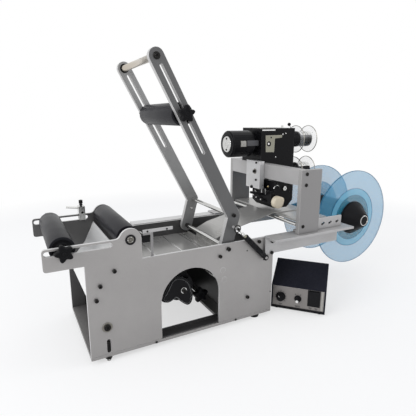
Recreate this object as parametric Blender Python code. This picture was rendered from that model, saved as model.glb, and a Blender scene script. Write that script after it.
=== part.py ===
"""Bench machine that wraps labels round bottles: frame, carrying rollers, slotted press lever,
label reel, date coder and a separate control box. X runs from the carrying rollers to the
label reel, Y across the machine, Z up."""

import math

import bmesh
import bpy
from mathutils import Matrix, Vector

# Clearances and shared sizes
GAP = 0.0003
CUT_OVERRUN = 0.004
BOLT_R = 0.004

# Feet and base sheet
FOOT_HEIGHT = 0.009
FOOT_R = 0.012
FOOT_TAPER = 0.002
FOOT_INSET_Y = 0.014
FRONT_BOLT_X = 0.032
REAR_FOOT_INSET = 0.035
BASE_THICK = 0.006
WINDOW_FRONT = 0.062
WINDOW_REAR_MARGIN = 0.122
WINDOW_MARGIN = 0.026
WINDOW_CORNER = 0.010

# Side plates
BODY_LENGTH = 0.392
BODY_WIDTH = 0.216
PLATE_THICK = 0.005
PLATE_HEIGHT = 0.171
TONGUE_REACH = 0.063
TONGUE_RISE = 0.003
TONGUE_DEPTH = 0.0385
TONGUE_CORNER = 0.005
SLOT_FRONT = -0.056
SLOT_REAR = 0.044
SLOT_DROP = 0.008
SLOT_R = 0.0043
LOBE_X = 0.080
LOBE_DROP = 0.0035
LOBE_R = 0.020
LOBE_FILLET = 0.010
BEARING_R = 0.009
ARCH_X_SHARE = 0.5013
ARCH_R_SHARE = 0.1607
ARCH_DEPTH = 0.100
LEVEL_SLOT_LOW = 0.006
LEVEL_SLOT_HIGH = 0.026
LEVEL_SLOT_R = 0.0035
STUD_INSET = 0.0252
STUD_DROP = 0.0428
STUD_R = 0.003

# Front chute, deck sheets, cover, cross panel
SHEET = 0.0015
CHUTE_TOP_X = 0.058
CHUTE_TOP_RISE = 0.022
CHUTE_BEND_X = 0.038
CHUTE_BEND_DROP = 0.020
CHUTE_FOOT_X = 0.003
CHUTE_FOOT_DROP = 0.062
DECK_DROP = 0.034
DECK_LIP = 0.008
DECK_FRONT = 0.103
DECK_SEAM_A_SHARE = 0.398
DECK_SEAM_B_SHARE = 0.5536
DECK_REAR_GAP = 0.001
SEAM = 0.0012
COVER_INSET = 0.005
COVER_DROP = 0.030
PANEL_SHARE = 0.7258
PANEL_LOW = 0.016
PANEL_FLANGE = 0.010

# Ramp, print bed and guide rod
RAMP_WIDTH = 0.094
RAMP_FOOT_DROP = 0.0085
RAMP_KNEE = 0.0275
RAMP_KNEE_RISE = 0.004
BED_BEHIND = 0.002
BED_RISE = 0.0315
BED_REACH = 0.093
BED_LENGTH = 0.088
BED_THICK = 0.004
ROD_R = 0.0042
ROD_AHEAD = 0.001
ROD_DROP = 0.0035

# Beams, rails, uprights, cross bar
BEAM_OVERLAP = 0.025
BEAM_FLANGE_REACH = 0.200
BEAM_WEB_REACH = 0.183
BEAM_HEIGHT = 0.040
BEAM_RISE = 0.003
BEAM_THICK = 0.005
BEAM_OUT = 0.038
RAIL_HEIGHT = 0.025
RAIL_BEHIND = 0.009
RAIL_FOOT = 0.013
RAIL_THICK = 0.004
RAIL_LENGTH = 0.127
RAIL_HOLE_R = 0.0028
RAIL_HOLES = 5
RAIL_HOLE_PITCH = 0.0215
UPRIGHT_OUT_NEAR = 0.028
UPRIGHT_OUT_FAR = 0.035
UPRIGHT_THICK = 0.010
UPRIGHT_REACH = 0.043
UPRIGHT_WIDTH = 0.056
UPRIGHT_HEIGHT = 0.137
BAR_HEIGHT = 0.033
BAR_DEPTH = 0.020

# Carrying rollers
ROLLER_R = 0.021
ROLLER_CLEAR = 0.010
FRONT_ROLLER_X = -0.030
SHAFT_R = 0.004
ROLLER_RIM = 0.004
ROLLER_SINK = 0.0025
JOURNAL_R = 0.006
STAR_R = 0.0155
STAR_WAIST = 0.0105
STAR_POINTS = 5
STAR_THICK = 0.011

# Press lever
PIVOT_SHARE = 0.7117
PIVOT_DROP = 0.012
PIVOT_R = 0.0045
KNEE_BEHIND = 0.0172
KNEE_UP = 0.0638
LEVER_AHEAD = 0.1387
LEVER_UP = 0.3554
ARM_HALF = 0.0137
ARM_FOOT_R = 0.014
ARM_THICK = 0.010
ARM_CLEAR = 0.003
ARM_SLOT_NEAR = 0.017
ARM_SLOT_FAR = 0.184
ARM_SLOT_R = 0.003
HANDLE_R = 0.006
KNEE_ROD_R = 0.0045
PRESS_ALONG = 0.105
PRESS_ROLLER_R = 0.021
PRESS_CLEAR = 0.0007
HOOK_BEHIND = 0.0153
HOOK_UP = 0.0423
HOOK_PIN_R = 0.0025

# Return spring
SLEEVE_R = 0.0062
SLEEVE_BORE = 0.0042
SLEEVE_START = 0.008
SLEEVE_LENGTH = 0.068
EYE_R = 0.0065
EYE_THICK = 0.004
SPRING_CORE_R = 0.0035
SPRING_DIP = 0.040
HOOK_RING_R = 0.0085
HOOK_RING_BORE = 0.0058
SPRING_CLEAR = 0.0012
PIN_END = 0.001

# Sensor and clamp on the tongues
SENSOR_FRONT = 0.104
SENSOR_LENGTH = 0.014
SENSOR_DEPTH = 0.015
SENSOR_DROP = 0.0155
SENSOR_HEIGHT = 0.017
SENSOR_MOUTH = 0.004
SENSOR_POST_X = 0.122
SENSOR_POST_WIDTH = 0.013
SENSOR_POST_DROP = 0.023
SENSOR_BAR_END = 0.162
SENSOR_BAR_RISE = 0.003
SENSOR_BAR_HEIGHT = 0.006
SENSOR_BAR_THICK = 0.0022
CLAMP_X = 0.029
CLAMP_LENGTH = 0.013
CLAMP_RISE = 0.0175
CLAMP_DROP = 0.012
CLAMP_WALL = 0.006
CLAMP_SCREW_R = 0.003
CLAMP_SCREW_HEAD_R = 0.0042
CLAMP_SCREW_HEIGHT = 0.013
CLAMP_PIN_R = 0.0025
CLAMP_PIN_LENGTH = 0.024
CLAMP_PIN_DROP = 0.005

# Drive: motor, pulleys, belt, cover, traction and pinch rollers
MOTOR_SHARE = 0.8801
MOTOR_UP = 0.001
MOTOR_R = 0.034
MOTOR_LENGTH = 0.105
MOTOR_CHAMFER = 0.005
MOTOR_BOSS_R = 0.008
MOTOR_BOSS = 0.012
TRACTION_SHARE = 0.6811
TRACTION_DROP = 0.021
TRACTION_R = 0.012
PINCH_ANGLE = math.radians(-80)
PINCH_R = 0.009
PULLEY_R = 0.013
PULLEY_WIDTH = 0.010
PULLEY_START = 0.004
BELT_THICK = 0.0025
BELT_WIDTH = 0.008
DRIVE_COVER_AHEAD = 0.044
DRIVE_COVER_BEHIND = 0.018
DRIVE_COVER_BELOW = 0.028
DRIVE_COVER_RISE = 0.001
DRIVE_COVER_DEPTH = 0.030
COVER_WALL = 0.002

# Take-up spool
TAKEUP_AHEAD = 0.0025
TAKEUP_UP = 0.003
TAKEUP_CORE_R = 0.017
TAKEUP_FLANGE_R = 0.030
TAKEUP_FLANGE = 0.003
TAKEUP_NEAR = 0.056
TAKEUP_NUT_R = 0.007
TAKEUP_NUT = 0.009
TAKEUP_STAR_R = 0.027
TAKEUP_STAR_WAIST = 0.012
TAKEUP_STAR_THICK = 0.009

# Label reel
REEL_REACH = 0.290
REEL_DROP = 0.009
REEL_R = 0.122
REEL_DISC = 0.003
REEL_NEAR = 0.058
REEL_FAR = 0.062
REEL_CORE_R = 0.0378
REEL_SHOULDER = 0.003
HUB_REACH = 0.038
HUB_TIP_R = 0.0165
HUB_LIP = 0.006
REEL_SHAFT_R = 0.008
REEL_ARM_THICK = 0.0045
REEL_ARM_START = 0.010
REEL_ARM_BELOW = 0.023
REEL_ARM_ABOVE = 0.003
REEL_ARM_STRAIGHT = 0.204
REEL_ARM_BOSS_R = 0.017

# Date coder
CODER_LENGTH = 0.098
CODER_NEAR = 0.008
CODER_WIDTH = 0.080
CODER_SINK = 0.014
CODER_HEIGHT = 0.095
CODER_STEP = 0.022
RIBBON_PLATE_THICK = 0.004
RIBBON_PLATE_DROP = 0.039
RIBBON_PLATE_NEAR = 0.011
RIBBON_PLATE_FAR = 0.070
CODER_MOTOR_Y = 0.048
CODER_MOTOR_DROP = 0.0368
CODER_MOTOR_R = 0.0312
CODER_MOTOR_AHEAD = 0.0698
CODER_MOTOR_NECK_R = 0.024
CODER_MOTOR_NECK = 0.012
CODER_MOTOR_CHAMFER = 0.003
RIBBON_Y = 0.030
RIBBON_UPPER_DROP = 0.028
RIBBON_LOWER_DROP = 0.011
RIBBON_DISC_R = 0.034
RIBBON_CORE_R = 0.020
RIBBON_DISC = 0.002
RIBBON_BEHIND = 0.023
RIBBON_SPACING = 0.041
RIBBON_PIN_R = 0.005
ADAPTER_NEAR = -0.0075
ADAPTER_FAR = 0.0486
ADAPTER_DROP = 0.045
ADAPTER_HEIGHT = 0.065
ADAPTER_THICK = 0.012

# Print head
HEAD_AHEAD = 0.003
HEAD_LENGTH = 0.064
HEAD_NEAR = -0.040
HEAD_FAR = 0.033
HEAD_RISE = 0.008
HEAD_GAP = 0.024
HEAD_STEP = 0.012
HEAD_STEP_DROP = 0.0215
HEAD_CHAMFER = 0.016
HEAD_NOSE = 0.012
HEAD_POST_R = 0.005
HEAD_POST_DIP = 0.020
HEAD_POST_INSET = 0.034
HEAD_POST_Y = 0.022
HEAD_POST_SPACING = 0.022
HEAD_KNOB_R = 0.0163
HEAD_KNOB_THICK = 0.014
HEAD_KNOB_CHAMFER = 0.002
HEAD_KNOB_INSET = 0.015
HEAD_KNOB_UP = 0.0157
HEAD_LEVER_REACH = 0.040
HEAD_LEVER_RISE = 0.010
HEAD_LEVER_Y = -0.016
HEAD_LEVER_R = 0.003
HEAD_LEVER_DROP = 0.012

# Control box
BOX_BEHIND = 0.019
BOX_INSET_Y = 0.023
BOX_YAW = math.radians(-47.4)
BOX_WIDTH = 0.120
BOX_DEPTH = 0.075
BOX_FRONT_HEIGHT = 0.062
BOX_BACK_HEIGHT = 0.098
BOX_RIM = 0.003
BOX_RECESS = 0.0015
BOX_FOOT = 0.004
BOX_FOOT_R = 0.006
BOX_FOOT_INSET = 0.012
BOX_FOOT_ROOT = 0.004
KNOB_R = 0.008
KNOB_LENGTH = 0.013
KNOB_CHAMFER = 0.0015
TOGGLE_R = 0.006
TOGGLE_LENGTH = 0.011
TOGGLE_CHAMFER = 0.0023
ROCKER_WIDTH = 0.024
ROCKER_HALF = 0.017
ROCKER_FRONT = 0.004
ROCKER_WAIST = 0.002
ROCKER_BACK = 0.004
ROCKER_TAPER = 0.0017
ROCKER_SINK = 0.0005
ROCKER_SWING = 0.0012
POCKET_DEPTH = 0.009
SWITCH_HEIGHT_SHARE = 0.54
KNOB_SHARE = 0.18
TOGGLE_SHARE = 0.50
ROCKER_SHARE = 0.79
ROCKER_HEIGHT_SHARE = 0.60

ROUND = 32
SMALL_ROUND = 16

# Across the machine, from its middle
HALF = BODY_WIDTH / 2
INNER = HALF - PLATE_THICK
ROLLER_END = INNER - ROLLER_CLEAR
ARM_OUTER = INNER - ARM_CLEAR
PRESS_ROLLER_END = ARM_OUTER - ARM_THICK - PRESS_CLEAR
UPRIGHT_OUTER_NEAR = HALF + UPRIGHT_OUT_NEAR
UPRIGHT_OUTER_FAR = HALF + UPRIGHT_OUT_FAR
BOX_Y = BOX_INSET_Y - HALF
SPRING_PLANE = HALF + GAP + BEAM_THICK + SPRING_CLEAR + EYE_THICK / 2
PIN_REACH = SPRING_PLANE + EYE_THICK / 2 + PIN_END

# Along the machine, from the front end of the base
REAR_FOOT_X = BODY_LENGTH - REAR_FOOT_INSET
WINDOW_REAR = BODY_LENGTH - WINDOW_REAR_MARGIN
ARCH_X = BODY_LENGTH * ARCH_X_SHARE
ARCH_R = BODY_LENGTH * ARCH_R_SHARE
STUD_X = BODY_LENGTH - STUD_INSET
DECK_SEAM_A = BODY_LENGTH * DECK_SEAM_A_SHARE
DECK_SEAM_B = BODY_LENGTH * DECK_SEAM_B_SHARE
PANEL_X = BODY_LENGTH * PANEL_SHARE
DECK_REAR = PANEL_X - DECK_REAR_GAP
COVER_REAR = BODY_LENGTH - COVER_INSET
PIVOT_X = BODY_LENGTH * PIVOT_SHARE
KNEE_X = PIVOT_X + KNEE_BEHIND
LEVER_TOP_X = PIVOT_X - LEVER_AHEAD
HOOK_X = PIVOT_X + HOOK_BEHIND
MOTOR_X = BODY_LENGTH * MOTOR_SHARE
TRACTION_X = BODY_LENGTH * TRACTION_SHARE
TAKEUP_X = ARCH_X - TAKEUP_AHEAD
BEAM_FRONT = BODY_LENGTH - BEAM_OVERLAP
BEAM_FLANGE_END = BODY_LENGTH + BEAM_FLANGE_REACH
BEAM_WEB_END = BODY_LENGTH + BEAM_WEB_REACH
UPRIGHT_FRONT = BODY_LENGTH + UPRIGHT_REACH
RAMP_KNEE_X = PANEL_X + RAMP_KNEE
BED_FRONT = UPRIGHT_FRONT + BED_BEHIND
BED_END = UPRIGHT_FRONT + BED_REACH
RAIL_FRONT = UPRIGHT_FRONT + RAIL_BEHIND
RAIL_END = RAIL_FRONT + RAIL_LENGTH
REEL_X = BODY_LENGTH + REEL_REACH
REEL_ARM_FRONT = BODY_LENGTH + REEL_ARM_START
REEL_ARM_BEND = BODY_LENGTH + REEL_ARM_STRAIGHT
CODER_REAR = UPRIGHT_FRONT + CODER_LENGTH
CODER_STEP_X = UPRIGHT_FRONT + CODER_STEP
CODER_MOTOR_FRONT = UPRIGHT_FRONT - CODER_MOTOR_AHEAD
RIBBON_FIRST_X = CODER_REAR + RIBBON_BEHIND
HEAD_FRONT = UPRIGHT_FRONT - HEAD_AHEAD
HEAD_REAR = HEAD_FRONT + HEAD_LENGTH
HEAD_SHOULDER_X = HEAD_FRONT + HEAD_STEP
HEAD_POST_X = HEAD_FRONT + HEAD_POST_INSET
HEAD_KNOB_X = HEAD_FRONT + HEAD_KNOB_INSET
BOX_X = BODY_LENGTH + BOX_BEHIND

# Heights, from the top of the base sheet
LIFT = FOOT_HEIGHT + BASE_THICK
TONGUE_BOTTOM = PLATE_HEIGHT + TONGUE_RISE
TONGUE_TOP = TONGUE_BOTTOM + TONGUE_DEPTH
SLOT_AXIS = TONGUE_TOP - SLOT_DROP
LOBE_Z = TONGUE_TOP - LOBE_DROP
ARCH_SPRING = PLATE_HEIGHT - ARCH_DEPTH
STUD_Z = PLATE_HEIGHT - STUD_DROP
CHUTE_TOP_Z = PLATE_HEIGHT + CHUTE_TOP_RISE
CHUTE_BEND_Z = PLATE_HEIGHT - CHUTE_BEND_DROP
CHUTE_FOOT_Z = PLATE_HEIGHT - CHUTE_FOOT_DROP
DECK_HEIGHT = PLATE_HEIGHT - DECK_DROP
COVER_HEIGHT = PLATE_HEIGHT - COVER_DROP
RAMP_FOOT_Z = PLATE_HEIGHT - RAMP_FOOT_DROP
RAMP_KNEE_Z = PLATE_HEIGHT + RAMP_KNEE_RISE
BED_HEIGHT = PLATE_HEIGHT + BED_RISE
BEAM_TOP = PLATE_HEIGHT + BEAM_RISE
BEAM_LOW = BEAM_TOP - BEAM_HEIGHT
PIVOT_Z = PLATE_HEIGHT - PIVOT_DROP
KNEE_Z = PIVOT_Z + KNEE_UP
LEVER_TOP_Z = PIVOT_Z + LEVER_UP
HOOK_Z = PIVOT_Z + HOOK_UP
SENSOR_LOW = TONGUE_TOP - SENSOR_DROP
SENSOR_POST_LOW = PLATE_HEIGHT - SENSOR_POST_DROP
SENSOR_BAR_LOW = TONGUE_TOP + SENSOR_BAR_RISE
CLAMP_TOP = TONGUE_TOP + CLAMP_RISE
CLAMP_LOW = TONGUE_TOP - CLAMP_DROP
TRACTION_Z = DECK_HEIGHT - TRACTION_DROP
TAKEUP_Z = ARCH_SPRING + TAKEUP_UP
MOTOR_Z = TAKEUP_Z + MOTOR_UP
DRIVE_COVER_LOW = TAKEUP_Z - DRIVE_COVER_BELOW
DRIVE_COVER_TOP = PLATE_HEIGHT + DRIVE_COVER_RISE
REEL_Z = BEAM_TOP - REEL_DROP
CODER_LOW = BEAM_TOP + UPRIGHT_HEIGHT - CODER_SINK
CODER_TOP = CODER_LOW + CODER_HEIGHT
RIBBON_PLATE_LOW = CODER_LOW - RIBBON_PLATE_DROP
CODER_MOTOR_Z = CODER_TOP - CODER_MOTOR_DROP
RIBBON_UPPER_Z = CODER_TOP - RIBBON_UPPER_DROP
RIBBON_LOWER_Z = CODER_LOW - RIBBON_LOWER_DROP
ADAPTER_LOW = CODER_LOW - ADAPTER_DROP
HEAD_LOW = BED_HEIGHT + HEAD_RISE
HEAD_TOP = CODER_LOW - HEAD_GAP
HEAD_SHOULDER = HEAD_TOP - HEAD_STEP_DROP
HEAD_KNOB_Z = HEAD_LOW + HEAD_KNOB_UP

for old in list(bpy.data.objects):
    bpy.data.objects.remove(old, do_unlink=True)

root = bpy.data.objects.new("machine_root", None)
bpy.context.scene.collection.objects.link(root)


def finish(name, colour, roughness, metallic=0.0, alpha=1.0):
    material = bpy.data.materials.new(name)
    material.use_nodes = True
    shader = material.node_tree.nodes["Principled BSDF"]
    shader.inputs["Base Color"].default_value = (*colour, 1.0)
    shader.inputs["Roughness"].default_value = roughness
    shader.inputs["Metallic"].default_value = metallic
    shader.inputs["Alpha"].default_value = alpha
    return material


ALUMINIUM = finish("anodised_aluminium", (0.46, 0.46, 0.47), 0.42, 1.0)
BRIGHT = finish("bright_sheet", (0.70, 0.70, 0.70), 0.34, 1.0)
STEEL = finish("polished_steel", (0.72, 0.72, 0.72), 0.20, 1.0)
DARK = finish("dark_sheet", (0.05, 0.05, 0.055), 0.50)
BLACK = finish("black_plastic", (0.015, 0.015, 0.017), 0.38)
BLACK_METAL = finish("black_anodised", (0.020, 0.020, 0.022), 0.42)
RUBBER = finish("black_rubber", (0.02, 0.02, 0.022), 0.62)
BLUE = finish("clear_blue_plastic", (0.13, 0.42, 0.66), 0.10, 0.0, 0.55)
CLEAR = finish("clear_plastic", (0.80, 0.82, 0.84), 0.08, 0.0, 0.40)
CREAM = finish("cream_plastic", (0.72, 0.66, 0.52), 0.45)
BOX_PAINT = finish("dark_blue_paint", (0.018, 0.020, 0.035), 0.45)


def add(name, bm, material, pivot=(0, 0, 0), parent=None):
    """Links a mesh given in machine coordinates as an object with its origin at pivot."""
    bmesh.ops.recalc_face_normals(bm, faces=bm.faces)
    bmesh.ops.translate(bm, verts=bm.verts, vec=-Vector(pivot))
    mesh = bpy.data.meshes.new(name)
    bm.to_mesh(mesh)
    bm.free()
    mesh.materials.append(material)
    mesh.shade_smooth()
    mesh.set_sharp_from_angle(angle=math.radians(32))
    piece = bpy.data.objects.new(name, mesh)
    bpy.context.scene.collection.objects.link(piece)
    piece.location = pivot
    piece.parent = parent or root
    return piece


def combine(piece, others, operation):
    """Joins or cuts a piece with helper objects, then drops the helpers."""
    for other in others:
        step = piece.modifiers.new(operation.lower(), "BOOLEAN")
        step.operation = operation
        step.solver = "EXACT"
        step.object = other
    bpy.context.view_layer.update()
    graph = bpy.context.evaluated_depsgraph_get()
    mesh = bpy.data.meshes.new_from_object(piece.evaluated_get(graph), depsgraph=graph)
    piece.modifiers.clear()
    piece.data = mesh
    mesh.shade_smooth()
    mesh.set_sharp_from_angle(angle=math.radians(32))
    for other in others:
        bpy.data.objects.remove(other, do_unlink=True)
    return piece


def arc(centre, radius, start, end, steps):
    """Points on an arc, angles in degrees, both ends included."""
    turn = [math.radians(start + (end - start) * i / steps) for i in range(steps + 1)]
    return [(centre[0] + radius * math.cos(a), centre[1] + radius * math.sin(a)) for a in turn]


def circle(centre, radius, steps=ROUND):
    return arc(centre, radius, 0, 360, steps)[:-1]


def capsule(first, second, radius, steps=8):
    """Outline of a slot between two end centres."""
    heading = math.degrees(math.atan2(second[1] - first[1], second[0] - first[0]))
    return arc(second, radius, heading - 90, heading + 90, steps) + arc(
        first, radius, heading + 90, heading + 270, steps
    )


def rounded(x0, x1, y0, y1, radius, steps=4):
    return (
        arc((x1 - radius, y1 - radius), radius, 0, 90, steps)
        + arc((x0 + radius, y1 - radius), radius, 90, 180, steps)
        + arc((x0 + radius, y0 + radius), radius, 180, 270, steps)
        + arc((x1 - radius, y0 + radius), radius, 270, 360, steps)
    )


def rectangle(x0, x1, y0, y1):
    return [(x0, y0), (x1, y0), (x1, y1), (x0, y1)]


def star(centre, tip, waist, points, turn=90.0):
    """Outline of a star knob with blunt tips."""
    outline = []
    for i in range(points):
        middle = turn + 360 * i / points
        for offset, radius in ((-12, tip), (0, tip), (12, tip), (180 / points, waist)):
            angle = math.radians(middle + offset)
            outline.append((centre[0] + radius * math.cos(angle), centre[1] + radius * math.sin(angle)))
    return outline


def hull(points):
    """Convex outline round a set of points, in order."""
    ordered = sorted(set(points))

    def half(sequence):
        chain = []
        for p in sequence:
            while len(chain) > 1 and (chain[-1][0] - chain[-2][0]) * (p[1] - chain[-2][1]) <= (
                chain[-1][1] - chain[-2][1]
            ) * (p[0] - chain[-2][0]):
                chain.pop()
            chain.append(p)
        return chain[:-1]

    return half(ordered) + half(reversed(ordered))


def strip(path, thick):
    """Closed outline of a bent sheet: the path is its upper face and the sheet lies on the right of it."""
    lower = []
    for i, point in enumerate(path):
        before = Vector(path[max(i - 1, 0)])
        after = Vector(path[min(i + 1, len(path) - 1)])
        here = Vector(point)
        into = (here - before).normalized() if i else (after - here).normalized()
        out = (after - here).normalized() if i < len(path) - 1 else into
        side_in = Vector((into.y, -into.x))
        side_out = Vector((out.y, -out.x))
        mitre = (side_in + side_out).normalized()
        lower.append(tuple(here + mitre * (thick / max(mitre.dot(side_in), 0.3))))
    return list(path) + lower[::-1]


def at(axis, a, b, along):
    """A point from two outline coordinates and a distance along the named axis."""
    if axis == "X":
        return (along, a, b)
    if axis == "Y":
        return (a, along, b)
    return (a, b, along)


def sheet(loops, axis, low, high):
    """A flat solid between low and high on an axis, from an outline and its holes."""
    bm = bmesh.new()
    edges = []
    for loop in loops:
        corners = [bm.verts.new(at(axis, a, b, low)) for a, b in loop]
        edges += [bm.edges.new((corners[i - 1], corners[i])) for i in range(len(corners))]
    bmesh.ops.triangle_fill(bm, use_beauty=True, use_dissolve=False, edges=edges)
    made = bmesh.ops.extrude_face_region(bm, geom=list(bm.faces))
    moved = [v for v in made["geom"] if isinstance(v, bmesh.types.BMVert)]
    bmesh.ops.translate(bm, verts=moved, vec=Vector(at(axis, 0, 0, high - low)))
    return bm


def block(x0, x1, y0, y1, z0, z1, bevel=0):
    bm = bmesh.new()
    size = Matrix.Diagonal((x1 - x0, y1 - y0, z1 - z0, 1))
    move = Matrix.Translation(((x0 + x1) / 2, (y0 + y1) / 2, (z0 + z1) / 2))
    bmesh.ops.create_cube(bm, size=1, matrix=move @ size)
    if bevel:
        bmesh.ops.bevel(bm, geom=list(bm.edges), offset=bevel, segments=2, profile=0.5, affect="EDGES")
    return bm


def turned(profile, origin, axis, steps=ROUND, bored=False):
    """A turned solid. The profile is (radius, distance along the axis); a bored one closes on itself."""
    bm = bmesh.new()
    direction = Vector(axis).normalized()
    turn = Vector((0, 0, 1)).rotation_difference(direction).to_matrix()
    rings = []
    for radius, along in profile:
        ring = []
        for i in range(steps):
            angle = 2 * math.pi * i / steps
            local = Vector((radius * math.cos(angle), radius * math.sin(angle), along))
            ring.append(bm.verts.new(Vector(origin) + turn @ local))
        rings.append(ring)
    pairs = list(zip(rings, rings[1:]))
    if bored:
        pairs.append((rings[-1], rings[0]))
    for first, second in pairs:
        for i in range(steps):
            bm.faces.new((first[i - 1], first[i], second[i], second[i - 1]))
    if not bored:
        bm.faces.new(rings[0])
        bm.faces.new(rings[-1])
    return bm


def rod(start, end, radius, steps=SMALL_ROUND):
    length = (Vector(end) - Vector(start)).length
    return turned([(radius, 0), (radius, length)], start, Vector(end) - Vector(start), steps)


def helper(bm):
    piece = add("helper", bm, STEEL)
    piece.hide_render = True
    piece.display_type = "WIRE"
    return piece


# Base sheet with its window and the two levelling bolts
base = add(
    "base_plate",
    sheet(
        [
            rectangle(0, BODY_LENGTH, -HALF, HALF),
            rounded(WINDOW_FRONT, WINDOW_REAR, WINDOW_MARGIN - HALF, HALF - WINDOW_MARGIN, WINDOW_CORNER),
        ],
        "Z",
        FOOT_HEIGHT,
        LIFT,
    ),
    ALUMINIUM,
)
bolt_top = LIFT - BASE_THICK / 2
bolts = [
    helper(rod((FRONT_BOLT_X, bolt_y, 0), (FRONT_BOLT_X, bolt_y, bolt_top), BOLT_R))
    for bolt_y in (FOOT_INSET_Y - HALF, HALF - FOOT_INSET_Y)
]
combine(base, bolts, "UNION")
for name, side in (("foot_rear_near", -1), ("foot_rear_far", 1)):
    foot_y = side * (HALF - FOOT_INSET_Y)
    add(
        name,
        turned(
            [(FOOT_R - FOOT_TAPER, 0), (FOOT_R, FOOT_HEIGHT - GAP)],
            (REAR_FOOT_X, foot_y, 0),
            (0, 0, 1),
            SMALL_ROUND,
        ),
        RUBBER,
    )


def plate_outline(arched):
    """The side plate: tongue, lobe, body and, on the near side, the arch that opens downwards."""
    low = LIFT + GAP
    lobe = (LOBE_X, LIFT + LOBE_Z)
    step_x = LOBE_X + LOBE_R
    fillet_z = LIFT + TONGUE_TOP + LOBE_FILLET
    reach = math.sqrt((LOBE_R + LOBE_FILLET) ** 2 - (fillet_z - lobe[1]) ** 2)
    fillet = (LOBE_X - reach, fillet_z)
    meet = math.degrees(math.atan2(fillet[1] - lobe[1], fillet[0] - lobe[0]))
    tip = -TONGUE_REACH + TONGUE_CORNER
    spring = (ARCH_X, LIFT + ARCH_SPRING)
    opening = []
    if arched:
        opening = [(ARCH_X - ARCH_R, low)] + arc(spring, ARCH_R, 180, 0, 20) + [(ARCH_X + ARCH_R, low)]
    return (
        [(0, low)]
        + opening
        + [(BODY_LENGTH, low), (BODY_LENGTH, LIFT + PLATE_HEIGHT)]
        + [(step_x, LIFT + PLATE_HEIGHT)]
        + arc(lobe, LOBE_R, 0, meet, 12)
        + arc(fillet, LOBE_FILLET, meet - 180, -90, 5)[1:]
        + arc((tip, LIFT + TONGUE_TOP - TONGUE_CORNER), TONGUE_CORNER, 90, 180, 4)
        + arc((tip, LIFT + TONGUE_BOTTOM + TONGUE_CORNER), TONGUE_CORNER, 180, 270, 4)
        + [(0, LIFT + TONGUE_BOTTOM)]
    )


def plate_holes(far):
    slot = capsule((SLOT_FRONT, LIFT + SLOT_AXIS), (SLOT_REAR, LIFT + SLOT_AXIS), SLOT_R)
    level_low = (FRONT_BOLT_X, LIFT + LEVEL_SLOT_LOW)
    level_high = (FRONT_BOLT_X, LIFT + LEVEL_SLOT_HIGH)
    level = capsule(level_low, level_high, LEVEL_SLOT_R, 5)
    found = [
        slot,
        level,
        circle((LOBE_X, LIFT + LOBE_Z), BEARING_R, 24),
        circle((PIVOT_X, LIFT + PIVOT_Z), PIVOT_R + GAP, SMALL_ROUND),
    ]
    pinch = pinch_centre()
    for x, z in ((TRACTION_X, LIFT + TRACTION_Z), pinch):
        found.append(circle((x, z), SHAFT_R + GAP, SMALL_ROUND))
    if far:
        found.append(circle((TAKEUP_X, LIFT + TAKEUP_Z), JOURNAL_R + GAP, SMALL_ROUND))
        found.append(circle((MOTOR_X, LIFT + MOTOR_Z), SHAFT_R + GAP, SMALL_ROUND))
    return found


def pinch_centre():
    reach = TRACTION_R + PINCH_R + GAP
    return (TRACTION_X + reach * math.cos(PINCH_ANGLE), LIFT + TRACTION_Z + reach * math.sin(PINCH_ANGLE))


near_loops = [plate_outline(True)] + plate_holes(False)
plate_near = add("plate_near", sheet(near_loops, "Y", -HALF, -INNER), ALUMINIUM)
stud_root = -INNER - PLATE_THICK / 2
stud = rod((STUD_X, stud_root, LIFT + STUD_Z), (STUD_X, -PIN_REACH, LIFT + STUD_Z), STUD_R)
combine(plate_near, [helper(stud)], "UNION")
far_loops = [plate_outline(False)] + plate_holes(True)
add("plate_far", sheet(far_loops, "Y", INNER, HALF), ALUMINIUM)

# Sheets between the plates
SPAN = INNER - GAP
chute_path = [
    (CHUTE_FOOT_X, LIFT + CHUTE_FOOT_Z),
    (CHUTE_BEND_X, LIFT + CHUTE_BEND_Z),
    (CHUTE_TOP_X, LIFT + CHUTE_TOP_Z),
]
add("chute", sheet([strip(chute_path, SHEET)], "Y", -SPAN, SPAN), BRIGHT)
deck_top = LIFT + DECK_HEIGHT
for name, front, rear in (
    ("deck_front", DECK_FRONT, DECK_SEAM_A),
    ("deck_middle", DECK_SEAM_A + SEAM, DECK_SEAM_B),
    ("deck_rear", DECK_SEAM_B + SEAM, DECK_REAR),
):
    path = [
        (front, deck_top - DECK_LIP),
        (front, deck_top),
        (rear, deck_top),
        (rear, deck_top - DECK_LIP),
    ]
    add(name, sheet([strip(path, SHEET)], "Y", -SPAN, SPAN), BRIGHT)
cover_top = LIFT + COVER_HEIGHT
cover_front = PANEL_X + SHEET + GAP
path = [
    (cover_front, cover_top - DECK_LIP),
    (cover_front, cover_top),
    (COVER_REAR, cover_top),
    (COVER_REAR, cover_top - DECK_LIP),
]
add("rear_cover", sheet([strip(path, SHEET)], "Y", -SPAN, SPAN), DARK)
panel_path = [
    (PANEL_X + PANEL_FLANGE, LIFT + PANEL_LOW),
    (PANEL_X, LIFT + PANEL_LOW),
    (PANEL_X, cover_top),
]
add("cross_panel", sheet([strip(panel_path, SHEET)], "Y", -SPAN, SPAN), DARK)

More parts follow.
